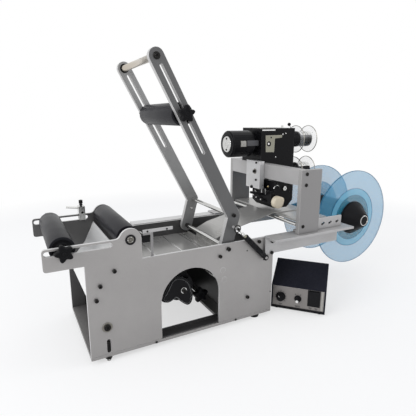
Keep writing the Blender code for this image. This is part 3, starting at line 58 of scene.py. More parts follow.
def connect(tree, values, node):
    # links or sets the named inputs of a node
    for label, value in values.items():
        if isinstance(value, bpy.types.NodeSocket):
            tree.links.new(value, node.inputs[label])
        else:
            node.inputs[label].default_value = value


def addNode(tree, kind, values=None, operation=None):
    node = tree.nodes.new("ShaderNode" + kind)
    if operation:
        node.operation = operation
    connect(tree, values or {}, node)
    return node


def mathNode(tree, operation, first, second=0.0):
    return addNode(tree, "Math", {0: first, 1: second}, operation).outputs[0]


def mixColours(tree, factor, first, second):
    node = addNode(tree, "Mix")
    node.data_type = "RGBA"
    connect(tree, {0: factor, 6: first, 7: second}, node)
    return node.outputs[2]


def mapRange(tree, value, fromLow, fromHigh, toLow=0.0, toHigh=1.0):
    return addNode(tree, "MapRange", {0: value, 1: fromLow, 2: fromHigh, 3: toLow, 4: toHigh}).outputs[0]


def objectPlace(tree):
    return addNode(tree, "TexCoord").outputs["Object"]


def facing(tree, source, axis):
    # one part of the way that a face looks
    return addNode(tree, "SeparateXYZ", {0: addNode(tree, source).outputs["Normal"]}).outputs[axis]


def newGroup(name, inputs, outputs):
    tree = bpy.data.node_groups.new(name, "ShaderNodeTree")
    for label, value in inputs.items():
        kind = "NodeSocketVector" if isinstance(value, tuple) else "NodeSocketFloat"
        socket = tree.interface.new_socket(label, in_out="INPUT", socket_type=kind)
        socket.default_value = value
    for label in outputs:
        tree.interface.new_socket(label, in_out="OUTPUT", socket_type="NodeSocketFloat")
    return tree, tree.nodes.new("NodeGroupInput").outputs, tree.nodes.new("NodeGroupOutput")


def placeGroup(tree, group, **values):
    node = tree.nodes.new("ShaderNodeGroup")
    node.node_tree = group
    connect(tree, values, node)
    return node.outputs


# shared effects, each a group that puts out masks and heights
def makeGrain():
    # even fine grain, stretched by Stretch for brushed or linished metal
    inputs = {"Scale": 900.0, "Stretch": (1, 1, 1), "Detail": 4.0}
    tree, start, end = newGroup("fineGrain", inputs, ["Value", "Height"])
    stretched = addNode(tree, "VectorMath", {0: objectPlace(tree), 1: start["Stretch"]}, "MULTIPLY").outputs[0]
    noise = addNode(tree, "TexNoise", {"Vector": stretched, "Scale": start["Scale"], "Detail": start["Detail"]})
    connect(tree, {"Value": mapRange(tree, noise.outputs[0], 0.3, 0.7), "Height": noise.outputs[0]}, end)
    return tree


def makeMottle():
    # slow clouding of a finish, with faint wipe marks across it
    tree, start, end = newGroup("finishClouding", {"Scale": 14.0, "Wipes": 0.35}, ["Value"])
    place = objectPlace(tree)
    cloud = addNode(tree, "TexNoise", {"Vector": place, "Scale": start["Scale"], "Detail": 3.0})
    turn = addNode(tree, "Mapping", {"Vector": place, "Rotation": (0.3, 0.5, 0.7), "Scale": (60, 9, 60)})
    wipe = addNode(tree, "TexNoise", {"Vector": turn.outputs[0], "Scale": 1.0, "Detail": 5.0})
    marks = mathNode(tree, "SUBTRACT", wipe.outputs[0], 0.5)
    wiped = mathNode(tree, "MULTIPLY", marks, start["Wipes"])
    connect(tree, {"Value": mathNode(tree, "ADD", mapRange(tree, cloud.outputs[0], 0.3, 0.7), wiped)}, end)
    return tree


def makeEdge():
    # where two faces meet: 1 at an outer edge, 0 on the flat
    tree, start, end = newGroup("edgeFind", {"Width": 0.0006, "Gain": 6.0}, ["Mask"])
    bevel = addNode(tree, "Bevel", {"Radius": start["Width"]})
    bevel.samples = 4
    flat = addNode(tree, "NewGeometry").outputs["Normal"]
    alike = addNode(tree, "VectorMath", {0: bevel.outputs[0], 1: flat}, "DOT_PRODUCT").outputs["Value"]
    gap = mathNode(tree, "SUBTRACT", 1.0, alike)
    gained = addNode(tree, "Math", {0: gap, 1: start["Gain"]}, "MULTIPLY")
    gained.use_clamp = True
    connect(tree, {"Mask": gained.outputs[0]}, end)
    return tree


def makeDustAndSheen():
    # thin dust that settles on faces that look up; turned up to full on the ribbon film, the same mask paints a
    # highlight there
    tree, start, end = newGroup("settledDustAndSheen", {"Amount": 0.3, "Scale": 220.0}, ["Mask"])
    upward = mapRange(tree, facing(tree, "NewGeometry", "Z"), 0.1, 1.0)
    noise = addNode(tree, "TexNoise", {"Vector": objectPlace(tree), "Scale": start["Scale"], "Detail": 6.0})
    settled = mathNode(tree, "MULTIPLY", upward, mapRange(tree, noise.outputs[0], 0.35, 0.75, 0.1, 1.0))
    connect(tree, {"Mask": mathNode(tree, "MULTIPLY", settled, start["Amount"])}, end)
    return tree


def makePores():
    # small round pits, as in moulded plastic, rubber and textured paint
    tree, start, end = newGroup("mouldPores", {"Scale": 700.0, "Softness": 0.6}, ["Height"])
    cells = addNode(tree, "TexVoronoi")
    cells.feature = "SMOOTH_F1"
    values = {"Vector": objectPlace(tree), "Scale": start["Scale"], "Smoothness": start["Softness"]}
    connect(tree, values, cells)
    connect(tree, {"Height": cells.outputs["Distance"]}, end)
    return tree


def makePaintedHollowShade():
    # painted shade deep inside the machine, where its neighbours close a face off from the open
    tree, start, end = newGroup("paintedHollowShade", {"Reach": 0.2}, ["Mask"])
    opening = addNode(tree, "AmbientOcclusion", {"Distance": start["Reach"]})
    opening.samples = 6
    connect(tree, {"Mask": mapRange(tree, opening.outputs["AO"], 0.55, 0.12)}, end)
    return tree


def makeCut():
    # the cut rims of upright sheets, which face any way but across the machine
    tree, start, end = newGroup("cutRims", {"Amount": 0.5}, ["Mask"])
    across = mathNode(tree, "ABSOLUTE", facing(tree, "TexCoord", "Y"))
    connect(tree, {"Mask": mathNode(tree, "MULTIPLY", mapRange(tree, across, 0.85, 0.5), start["Amount"])}, end)
    return tree


def makeInnerPaintedShade():
    # painted shade on the side of an upright sheet that looks into the machine: Toward is the way in along Y
    tree, start, end = newGroup("innerPaintedShade", {"Toward": 1.0}, ["Mask"])
    inward = mathNode(tree, "MULTIPLY", facing(tree, "TexCoord", "Y"), start["Toward"])
    connect(tree, {"Mask": mapRange(tree, inward, 0.5, 0.85)}, end)
    return tree


grainGroup = makeGrain()
mottleGroup = makeMottle()
edgeGroup = makeEdge()
dustAndSheenGroup = makeDustAndSheen()
poreGroup = makePores()
paintedHollowShadeGroup = makePaintedHollowShade()
cutGroup = makeCut()
innerPaintedShadeGroup = makeInnerPaintedShade()
print("materials: eight shared effects built")


def startMaterial(name):
    material = bpy.data.materials.new(name)
    material.use_nodes = True
    tree = material.node_tree
    return material, tree, tree.nodes["Principled BSDF"]


def bumped(tree, height, look):
    values = {"Strength": look["bump"], "Distance": look["bumpDepth"], "Height": height}
    return addNode(tree, "Bump", values).outputs[0]


def tinted(tree, colour, mask, share, tint):
    # mixes share of a tint into a colour where the mask is white
    return mixColours(tree, mathNode(tree, "MULTIPLY", mask, share), colour, (*tint, 1))


def cloudAndEdge(tree, look):
    cloud = placeGroup(tree, mottleGroup, Scale=look["cloudScale"], Wipes=look["wipes"])
    edge = placeGroup(tree, edgeGroup, Width=look["edgeWidth"], Gain=look["edgeGain"])
    return cloud["Value"], edge["Mask"]


def cloudedRoughness(tree, cloud, look):
    low, high = look["roughness"] - look["roughSwing"], look["roughness"] + look["roughSwing"]
    return mapRange(tree, cloud, 0.0, 1.0, low, high)


def metalFinish(name, look):
    # sheet and bar metal: fine grain, slow clouding, brighter edges that are partly handling wear and partly
    # painted highlight; optional painted shade on inner sides and in hollows
    material, tree, shader = startMaterial(name)
    grain = placeGroup(tree, grainGroup, Scale=look["grainScale"], Stretch=look["stretch"])
    cloud, edge = cloudAndEdge(tree, look)
    colour = tinted(tree, (*look["colour"], 1), grain["Value"], look["grainShare"], look["grainColour"])
    colour = tinted(tree, colour, cloud, look["cloudShare"], look["cloudColour"])
    colour = tinted(tree, colour, edge, look["edgeShare"], look["edgeColour"])
    # painted shade on the faces that look into the machine
    if look.get("innerPaintedShadeShare"):
        inner = placeGroup(tree, innerPaintedShadeGroup, Toward=look["innerToward"])
        colour = tinted(tree, colour, inner["Mask"], look["innerPaintedShadeShare"], look["innerPaintedShadeColour"])
    if look["cutShare"]:
        cut = placeGroup(tree, cutGroup, Amount=look["cutShare"])
        colour = mixColours(tree, cut["Mask"], colour, (*look["cutColour"], 1))
    # painted shade: the colour darkens where ambient occlusion finds neighbours close by
    if look["hollowShare"]:
        hollow = placeGroup(tree, paintedHollowShadeGroup, Reach=look["paintedShadeReach"])
        colour = tinted(tree, colour, hollow["Mask"], look["hollowShare"], look["hollowColour"])
    polish = mathNode(tree, "MULTIPLY", edge, look["edgePolish"])
    connect(tree, {
        "Base Color": colour,
        "Roughness": mathNode(tree, "SUBTRACT", cloudedRoughness(tree, cloud, look), polish),
        "Metallic": look["metallic"],
        "Specular IOR Level": look["specular"],
        "Normal": bumped(tree, grain["Height"], look),
    }, shader)
    return material


def mouldedFinish(name, look):
    # plastic, rubber and paint: pores, lighter upper faces (settled dust, and a painted highlight on the ribbon
    # film), lighter edges that are partly rubbed wear and partly painted highlight
    material, tree, shader = startMaterial(name)
    pores = placeGroup(tree, poreGroup, Scale=look["poreScale"], Softness=look["poreSoftness"])
    dust = placeGroup(tree, dustAndSheenGroup, Amount=look["dust"], Scale=look["dustAndSheenScale"])["Mask"]
    cloud, edge = cloudAndEdge(tree, look)
    colour = tinted(tree, (*look["colour"], 1), cloud, look["cloudShare"], look["cloudColour"])
    colour = tinted(tree, colour, edge, look["edgeShare"], look["edgeColour"])
    dustAndSheenRough = mathNode(tree, "MULTIPLY", dust, look["dustAndSheenRoughness"])
    connect(tree, {
        "Base Color": mixColours(tree, dust, colour, (*look["dustColour"], 1)),
        "Roughness": mathNode(tree, "ADD", cloudedRoughness(tree, cloud, look), dustAndSheenRough),
        "Specular IOR Level": look["specular"],
        "Normal": bumped(tree, pores["Height"], look),
    }, shader)
    return material


def clearFinish(name, look):
    # clear sheet plastic: faint smears change the gloss and tint
    material, tree, shader = startMaterial(name)
    cloud, edge = cloudAndEdge(tree, look)
    colour = tinted(tree, (*look["colour"], 1), cloud, look["cloudShare"], look["cloudColour"])
    connect(tree, {
        "Base Color": tinted(tree, colour, edge, look["edgeShare"], look["edgeColour"]),
        "Roughness": mapRange(tree, cloud, 0.0, 1.0, look["roughLow"], look["roughHigh"]),
        "Alpha": mathNode(tree, "ADD", look["alpha"], mathNode(tree, "MULTIPLY", edge, look["edgeAlpha"])),
        "IOR": look["ior"],
        "Specular IOR Level": look["specular"],
        "Coat Weight": look["coat"],
    }, shader)
    material.surface_render_method = "BLENDED"
    return material


def toned(look, colour, grainColour=None, cloudColour=None, **changes):
    # the same look in other colours, with what else differs
    shades = dict(colour=colour, grainColour=grainColour, cloudColour=cloudColour)
    return {**look, **{key: shade for key, shade in shades.items() if shade}, **changes}


plateLook = dict(
    colour=(0.365, 0.352, 0.345), grainColour=(0.45, 0.435, 0.425), grainShare=0.5, grainScale=1500.0,
    stretch=(1, 1, 1), cloudColour=(0.29, 0.28, 0.275), cloudShare=0.3, cloudScale=9.0, wipes=0.5,
    edgeColour=(0.86, 0.86, 0.86), edgeShare=0.8, edgeWidth=0.0007, edgeGain=5.0, edgePolish=0.08,
    cutColour=(0.74, 0.74, 0.735), cutShare=0.8,
    # painted shade in the machine's hollows
    hollowColour=(0.055, 0.054, 0.055), hollowShare=0.8, paintedShadeReach=0.22,
    roughness=0.46, roughSwing=0.05, metallic=0.45, specular=0.4, bump=0.10, bumpDepth=0.0002,
)
# the side plates' inner faces are darkened: painted shade
innerPaintedShadeLook = dict(innerPaintedShadeShare=0.85, innerPaintedShadeColour=(0.07, 0.07, 0.071))
openLook = {**plateLook, "cutShare": 0.0, "hollowShare": 0.0}
sheetLook = toned(
    openLook, (0.40, 0.395, 0.38), (0.50, 0.495, 0.475), (0.29, 0.285, 0.27),
    stretch=(1, 0.03, 1), grainScale=1200.0, roughness=0.24, metallic=0.4, bump=0.06,
)
steelLook = toned(
    openLook, (0.62, 0.62, 0.61), (0.70, 0.70, 0.69), (0.48, 0.48, 0.47),
    grainScale=600.0, roughness=0.18, metallic=1.0, bump=0.03, edgeShare=0.4,
)
blackMetalLook = toned(
    openLook, (0.006, 0.006, 0.007), (0.012, 0.012, 0.013), (0.003, 0.003, 0.004), grainScale=1100.0,
    roughness=0.27, metallic=0.0, specular=0.10, edgeColour=(0.16, 0.16, 0.17), edgeShare=0.5, bump=0.12,
)

plateMetal = metalFinish("plateMetal", plateLook)
nearPlate = metalFinish("nearPlate", {**plateLook, **innerPaintedShadeLook, "innerToward": 1.0})
farPlate = metalFinish("farPlate", {**plateLook, **innerPaintedShadeLook, "innerToward": -1.0})
# the base plate is darkened more deeply where it is closed in: painted shade
baseMetal = metalFinish("baseMetal", {
    **plateLook, "hollowShare": 0.92, "paintedShadeReach": 0.3, "hollowColour": (0.03, 0.03, 0.031), "cutShare": 0.0,
})
adapterMetal = metalFinish("adapterMetal", toned(
    plateLook, (0.66, 0.66, 0.665), (0.74, 0.74, 0.74), cutShare=0.0, hollowShare=0.3,
))
uprightMetal = metalFinish("uprightMetal", toned(
    plateLook, (0.25, 0.245, 0.245), (0.31, 0.305, 0.305), cutColour=(0.42, 0.415, 0.41), hollowShare=0.5,
))
armMetal = metalFinish("armMetal", toned(
    plateLook, (0.125, 0.125, 0.126), (0.165, 0.165, 0.166), (0.09, 0.09, 0.09),
    roughness=0.42, cutColour=(0.56, 0.555, 0.55), cutShare=0.9, hollowShare=0.0,
))
farArmMetal = metalFinish("farArmMetal", toned(
    plateLook, (0.31, 0.31, 0.308), (0.38, 0.38, 0.377), (0.16, 0.16, 0.16),
    cloudShare=0.5, hollowShare=0.0, cutColour=(0.56, 0.555, 0.55),
))
barMetal = metalFinish("barMetal", toned(
    plateLook, (0.47, 0.465, 0.465), (0.57, 0.56, 0.56),
    stretch=(0.05, 1, 1), grainScale=900.0, cutShare=0.0, hollowShare=0.7,
))
# the base rails' metal is darkened nearly to black: painted shade
railPaintedShade = metalFinish("railPaintedShade", toned(
    plateLook, (0.06, 0.06, 0.06), (0.085, 0.085, 0.085), (0.04, 0.04, 0.04),
    cutShare=0.0, specular=0.2, edgeColour=(0.3, 0.3, 0.3),
))
darkSheet = metalFinish("darkSheet", toned(
    plateLook, (0.028, 0.028, 0.029), (0.045, 0.045, 0.046), (0.018, 0.018, 0.019), cutShare=0.0,
    roughness=0.36, metallic=0.6, specular=0.2, edgeColour=(0.4, 0.4, 0.4), hollowColour=(0.012, 0.012, 0.012),
))
panelMetal = metalFinish("panelMetal", toned(
    openLook, (0.25, 0.235, 0.225), (0.31, 0.29, 0.28), (0.18, 0.17, 0.165),
    metallic=0.5, roughness=0.40, stretch=(1, 1, 0.05),
))
sheetMetal = metalFinish("sheetMetal", sheetLook)
# the chute's sheet is painted far lighter than the deck's sheet: painted light
chuteSheetPaintedLight = metalFinish("chuteSheetPaintedLight", toned(
    sheetLook, (0.90, 0.90, 0.89), (0.96, 0.96, 0.95), (0.80, 0.80, 0.79), metallic=0.25,
))
steelMetal = metalFinish("steelMetal", steelLook)
brightEdge = metalFinish("brightEdge", toned(
    steelLook, (0.78, 0.78, 0.77), (0.86, 0.86, 0.85), (0.62, 0.62, 0.61), roughness=0.24,
))
handleMetal = metalFinish("handleMetal", toned(
    steelLook, (0.52, 0.47, 0.40), (0.60, 0.55, 0.47), (0.40, 0.36, 0.30),
))
bracketOlive = metalFinish("bracketOlive", toned(
    steelLook, (0.26, 0.255, 0.21), (0.34, 0.335, 0.28), (0.17, 0.165, 0.13),
))
bearingSteel = metalFinish("bearingSteel", toned(
    steelLook, (0.20, 0.19, 0.17), (0.26, 0.25, 0.22), (0.12, 0.11, 0.10), roughness=0.32,
))
brassMetal = metalFinish("brassMetal", toned(
    steelLook, (0.62, 0.50, 0.26), (0.70, 0.58, 0.32), (0.45, 0.36, 0.18),
))
blackMetal = metalFinish("blackMetal", blackMetalLook)
# the head rims are lightened by the edge mask: a painted highlight
screwBlack = metalFinish("screwBlack", toned(
    blackMetalLook, (0.014, 0.013, 0.012),
    metallic=0.3, roughness=0.26, edgeColour=(0.24, 0.235, 0.22), edgeShare=0.45,
))

plasticLook = dict(
    colour=(0.010, 0.010, 0.011), cloudColour=(0.016, 0.016, 0.018), cloudShare=0.5, cloudScale=30.0, wipes=0.3,
    poreScale=900.0, poreSoftness=0.7,
    dust=0.03, dustAndSheenScale=260.0, dustColour=(0.30, 0.29, 0.28), dustAndSheenRoughness=0.5,
    edgeColour=(0.07, 0.07, 0.075), edgeShare=0.5, edgeWidth=0.0006, edgeGain=4.0,
    roughness=0.36, roughSwing=0.06, specular=0.08, bump=0.10, bumpDepth=0.0003,
)
creamLook = toned(
    plasticLook, (0.86, 0.77, 0.61), cloudColour=(0.74, 0.64, 0.47), cloudShare=0.6,
    dustColour=(0.5, 0.46, 0.4), edgeColour=(0.82, 0.76, 0.62), roughness=0.42, dust=0.1, specular=0.4,
)
blackPlastic = mouldedFinish("blackPlastic", plasticLook)
knobPlastic = mouldedFinish("knobPlastic", toned(
    plasticLook, (0.006, 0.006, 0.007), cloudColour=(0.010, 0.010, 0.011), roughness=0.42,
))
rollerCover = mouldedFinish("rollerCover", toned(
    plasticLook, (0.013, 0.013, 0.016), cloudColour=(0.019, 0.019, 0.023), poreScale=1300.0,
    roughSwing=0.04, dust=0.01, specular=0.09, edgeColour=(0.09, 0.09, 0.10), bump=0.18,
))
blackRubber = mouldedFinish("blackRubber", toned(
    plasticLook, (0.014, 0.014, 0.015), roughness=0.58, bump=0.2, dust=0.05,
))
# the wheel's rims are lightened strongly by the edge mask: a painted highlight
wheelBlack = mouldedFinish("wheelBlack", {
    **plasticLook, "edgeColour": (0.55, 0.55, 0.55), "edgeShare": 0.85, "edgeWidth": 0.0012,
})
# the upper side is painted near white through the dust mask at full amount: a painted highlight on the black
# ribbon
ribbonFilmPaintedSheen = mouldedFinish("ribbonFilmPaintedSheen", {
    **plasticLook, "dust": 1.0, "dustAndSheenScale": 30.0, "dustColour": (0.95, 0.95, 0.95),
    "roughness": 0.2, "specular": 0.4,
})
# grey band on the black motor barrel: a painted highlight
barrelPaintedHighlight = mouldedFinish("barrelPaintedHighlight", toned(
    plasticLook, (0.10, 0.10, 0.105), cloudColour=(0.14, 0.14, 0.145), roughness=0.38,
))
tickInk = mouldedFinish("tickInk", toned(
    plasticLook, (0.05, 0.05, 0.055), cloudColour=(0.07, 0.07, 0.075), roughness=0.55,
))
boxPaint = mouldedFinish("boxPaint", toned(
    plasticLook, (0.010, 0.011, 0.018), cloudColour=(0.015, 0.016, 0.025), poreScale=1000.0, poreSoftness=0.35,
    roughness=0.48, bump=0.35, bumpDepth=0.0004, edgeColour=(0.06, 0.065, 0.09),
))
creamPlastic = mouldedFinish("creamPlastic", creamLook)
whitePlastic = mouldedFinish("whitePlastic", toned(
    creamLook, (0.82, 0.82, 0.80), cloudColour=(0.72, 0.72, 0.70), edgeColour=(0.9, 0.9, 0.88),
))
greyCard = mouldedFinish("greyCard", toned(
    creamLook, (0.42, 0.41, 0.38), cloudColour=(0.34, 0.33, 0.30), roughness=0.6,
))

blueLook = dict(
    colour=(0.09, 0.40, 0.64), cloudColour=(0.15, 0.49, 0.73), cloudShare=0.5, cloudScale=6.0, wipes=0.8,
    edgeColour=(0.02, 0.14, 0.30), edgeShare=0.9, edgeWidth=0.0010, edgeGain=5.0, edgeAlpha=0.5,
    roughLow=0.05, roughHigh=0.16, alpha=0.39, ior=1.49, specular=0.3, coat=0.15,
)
bluePlastic = clearFinish("bluePlastic", blueLook)
blueRing = clearFinish("blueRing", toned(
    blueLook, (0.20, 0.60, 0.82), cloudColour=(0.28, 0.68, 0.88), alpha=0.42,
))
blueInner = clearFinish("blueInner", toned(
    blueLook, (0.04, 0.26, 0.38), cloudColour=(0.07, 0.32, 0.46), alpha=0.45,
))
blueRim = clearFinish("blueRim", toned(
    blueLook, (0.02, 0.13, 0.24), cloudColour=(0.04, 0.18, 0.30), alpha=0.75,
))
clearPlastic = clearFinish("clearPlastic", toned(
    blueLook, (0.62, 0.64, 0.66), cloudColour=(0.74, 0.75, 0.77), edgeColour=(0.10, 0.10, 0.11), alpha=0.12,
    edgeAlpha=0.55, roughLow=0.03, roughHigh=0.08, specular=0.5, coat=0.6,
))
print("materials: all finishes built")

nodeFinish = {
    plateMetal: ["drive_cover", "reel_arm"],
    baseMetal: ["base_plate"],
    nearPlate: ["plate_near"],
    farPlate: ["plate_far"],
    adapterMetal: ["adapter_plate"],
    armMetal: ["arm_near"],
    farArmMetal: ["arm_far"],
    barMetal: ["beam_near", "beam_far", "rail_near", "rail_far", "cross_bar"],
    uprightMetal: ["upright_near", "upright_far"],
    chuteSheetPaintedLight: ["chute"],
    sheetMetal: ["deck_front", "deck_middle", "deck_rear", "ramp", "print_bed"],
    steelMetal: ["guide_rod", "clamp_block", "lever_axle", "motor_pulley", "pinch_roller", "knee_rod"],
    darkSheet: ["rear_cover", "cross_panel"],
    blackMetal: ["drive_motor", "coder_body", "coder_motor", "print_head"],
    blackPlastic: ["sensor_block", "takeup_spool", "reel_core", "box_rocker"],
    blackRubber: ["foot_rear_near", "foot_rear_far", "traction_roller", "drive_belt"],
    bluePlastic: ["reel_disc_near", "reel_disc_far"],
    boxPaint: ["control_box"],
}
for finish, names in nodeFinish.items():
    for name in names:
        nodes[name].data.materials.clear()
        nodes[name].data.materials.append(finish)


def softEdges(piece, width, segments=2, weld=False):
    if weld:
        join = piece.modifiers.new("join", "WELD")
        join.merge_threshold = 0.00001
    bevel = piece.modifiers.new("soft", "BEVEL")
    bevel.width = width
    bevel.segments = segments
    bevel.limit_method = "ANGLE"
    bevel.angle_limit = math.radians(40)
    bevel.miter_outer = "MITER_ARC"
    even = piece.modifiers.new("even", "WEIGHTED_NORMAL")
    even.weight = 60
    even.keep_sharp = False


bevelWidths = {
    0.0005: ["plate_near", "plate_far", "base_plate", "arm_near", "arm_far", "adapter_plate", "reel_arm"],
    0.0004: ["beam_near", "beam_far", "rail_near", "rail_far", "upright_near", "upright_far", "cross_bar"],
    0.0010: ["control_box"],
}
for width, names in bevelWidths.items():
    for name in names:
        softEdges(nodes[name], width, weld=True)
print("frame: finishes and soft edges on the packed nodes")


def local(x, y, z, axis=(0, 0, 1), turn=0.0):
    # local millimetres into the frame, with the local Z along axis
    spin = Vector(axis).normalized().to_track_quat("Z", "Y").to_matrix().to_4x4()
    return Matrix.Translation(spot(x, y, z)) @ spin @ turnZ(turn) @ Matrix.Scale(0.001, 4)


def turnZ(degrees):
    return Matrix.Rotation(math.radians(degrees), 4, "Z")


def shift(x, y, z):
    return Matrix.Translation((x, y, z))


def onAxis(place, y, toward, turn=0.0):
    # a spot on an axis across the machine, given by its X and Z
    return local(place[0], y, place[1], toward, turn)


machine = Matrix.Translation(spot(0, 0, 0)) @ Matrix.Scale(0.001, 4)
standUp = Matrix.Rotation(math.radians(90), 4, "X")
towardNear = (0, -1, 0)
towardFar = (0, 1, 0)
towardFront = (-1, 0, 0)
sides = ((-1, towardNear), (1, towardFar))

# X and Z of the axes across the machine
frontAxis = (-30, 219.5)
rearAxis = (80, 224)
pressAxis = (189.8, 436.8)
handleAxis = (140.3, 529.4)
pivotAxis = (279, 174)
takeupAxis = (191, 93)
reelAxis = (682, 180)


def loft(bm, rings, matrix, finish=0, loop=False, capped=True):
    # joins rings of points with equal counts into one skin, with caps at both ends or closed on itself
    rows = [[bm.verts.new(matrix @ Vector(point)) for point in ring] for ring in rings]
    pairs = list(zip(rows, rows[1:]))
    if loop:
        pairs.append((rows[-1], rows[0]))
    for lower, upper in pairs:
        for index in range(len(lower)):
            after = (index + 1) % len(lower)
            bm.faces.new((lower[index], lower[after], upper[after], upper[index])).material_index = finish
    if capped and not loop:
        bm.faces.new(list(reversed(rows[0]))).material_index = finish
        bm.faces.new(rows[-1]).material_index = finish


def turned(bm, profile, matrix, finish, segments, loop=False, capped=True):
    # profile pairs are radius and height; a radius may be a function of the angle
    rings = []
    for radius, height in profile:
        ring = []
        for index in range(segments):
            angle = 2 * math.pi * index / segments
            reach = radius(angle) if callable(radius) else radius
            ring.append((reach * math.cos(angle), reach * math.sin(angle), height))
        rings.append(ring)
    loft(bm, rings, matrix, finish, loop, capped)


def hexagon(flat):
    return lambda angle: flat / math.cos(angle % (math.pi / 3) - math.pi / 6)


def star(count, tip, waist, sharp=1.0, grow=0.0, twist=0.0):
    return lambda angle: waist + grow + (tip - waist) * ((1 + math.cos(count * (angle - twist))) / 2) ** sharp


def slab(bm, low, high, matrix=machine, finish=0):
    corners = [(low[0], low[1]), (high[0], low[1]), (high[0], high[1]), (low[0], high[1])]
    loft(bm, [[(x, y, height) for x, y in corners] for height in (low[2], high[2])], matrix, finish)


def extruded(bm, outline, low, high, matrix, holes=()):
    # a flat outline in local X and Y with holes, thickened along local Z
    edges = {low: [], high: []}
    for points in [outline, *holes]:
        rows = []
        for height in (low, high):
            row = [bm.verts.new(matrix @ Vector((x, y, height))) for x, y in points]
            for index in range(len(row)):
                edges[height].append(bm.edges.new((row[index], row[(index + 1) % len(row)])))
            rows.append(row)
        for index in range(len(points)):
            after = (index + 1) % len(points)
            bm.faces.new((rows[0][index], rows[0][after], rows[1][after], rows[1][index]))
    for rim in edges.values():
        bmesh.ops.triangle_fill(bm, use_beauty=True, edges=rim)


def circle(x, y, radius, count):
    angles = [2 * math.pi * index / count for index in range(count)]
    return [(x + radius * math.cos(angle), y + radius * math.sin(angle)) for angle in angles]


def rectangle(left, low, right, high):
    return [(left, low), (right, low), (right, high), (left, high)]


def tube(bm, points, radius, finish=0, segments=8):
    # sweeps a round section along points; radius may be a list
    path = [Vector(point) for point in points]
    radii = radius if isinstance(radius, (list, tuple)) else [radius] * len(path)
    side = None
    rings = []
    for index, point in enumerate(path):
        ahead = (path[min(index + 1, len(path) - 1)] - path[max(index - 1, 0)]).normalized()
        if side is None:
            side = ahead.orthogonal().normalized()
        side = (side - ahead * side.dot(ahead)).normalized()
        up = ahead.cross(side)
        ring = []
        for step in range(segments):
            angle = 2 * math.pi * step / segments
            ring.append(point + radii[index] * (side * math.cos(angle) + up * math.sin(angle)))
        rings.append(ring)
    loft(bm, rings, machine, finish)


def helix(start, end, radius, turns, perTurn):
    low, high = Vector(start), Vector(end)
    ahead = (high - low).normalized()
    side = ahead.orthogonal().normalized()
    up = ahead.cross(side)
    count = int(turns * perTurn)
    points = []
    for index in range(count + 1):
        angle = 2 * math.pi * index / perTurn
        points.append(low.lerp(high, index / count) + radius * (side * math.cos(angle) + up * math.sin(angle)))
    return points


def makePiece(name, bm, finishes, body, bevel=0.0, angle=32, replaced=""):
    bmesh.ops.recalc_face_normals(bm, faces=bm.faces)
    mesh = bpy.data.meshes.new(name)
    bm.to_mesh(mesh)
    bm.free()
    for finish in finishes:
        mesh.materials.append(finish)
    mesh.polygons.foreach_set("use_smooth", [True] * len(mesh.polygons))
    mesh.set_sharp_from_angle(angle=math.radians(angle))
    piece = bpy.data.objects.new(name, mesh)
    bpy.context.scene.collection.objects.link(piece)
    if bevel:
        softEdges(piece, bevel)
    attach(piece, body)
    if replaced:
        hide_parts(replaced)


def capScrew(bm, matrix, radius, height, finish=0, washer=0.0, washerFinish=0):
    # socket head with a knurled side, a chamfer and a hexagon key hole
    base = 0.0
    if washer:
        ring = [(washer - 0.25, 0), (washer, 0.25), (washer, 0.95), (washer - 0.25, 1.2)]
        turned(bm, ring, matrix, washerFinish, 24)
        base = 1.2
    rim = radius * 0.12
    top = base + height
    grip = star(12, radius, radius - 0.16)
    head = [(grip, base), (grip, top - 1.1), (radius, top - 0.9), (radius, top - rim), (radius - rim, top),
            (hexagon(radius * 0.47), top), (hexagon(radius * 0.45), base + height * 0.4)]
    turned(bm, head, matrix, finish, 24)


def buttonScrew(bm, matrix, radius, height, finish=0):
    dome = [(radius, 0), (radius * 0.93, height * 0.5), (radius * 0.72, height * 0.85), (radius * 0.45, height),
            (hexagon(radius * 0.36), height * 0.96), (hexagon(radius * 0.34), height * 0.35)]
    turned(bm, dome, matrix, finish, 18)


def buttonSet(name, places, radius, height, finish=screwBlack, body="frame"):
    bm = bmesh.new()
    for place in places:
        buttonScrew(bm, place, radius, height)
    makePiece(name, bm, [finish], body)


def slabSet(name, slabs, finishes, body="frame", **options):
    # each slab holds its low corner, its high corner and the number of its finish
    bm = bmesh.new()
    for low, high, finish in slabs:
        slab(bm, low, high, machine, finish)
    makePiece(name, bm, finishes, body, **options)


# carrying and press rollers: rubber cover with rounded rims, sunk ends, hub and bearing
rollerShape = dict(
    radius=21.0, rim=1.0, rimSteps=4, wall=4.0, sink=3.2, hub=9.5, hubOut=1.0, bearing=7.0, bore=4,
    rearJournal=[(6, 88), (6, 103.2), (5.2, 108.2), (4.4, 108.9)],
)


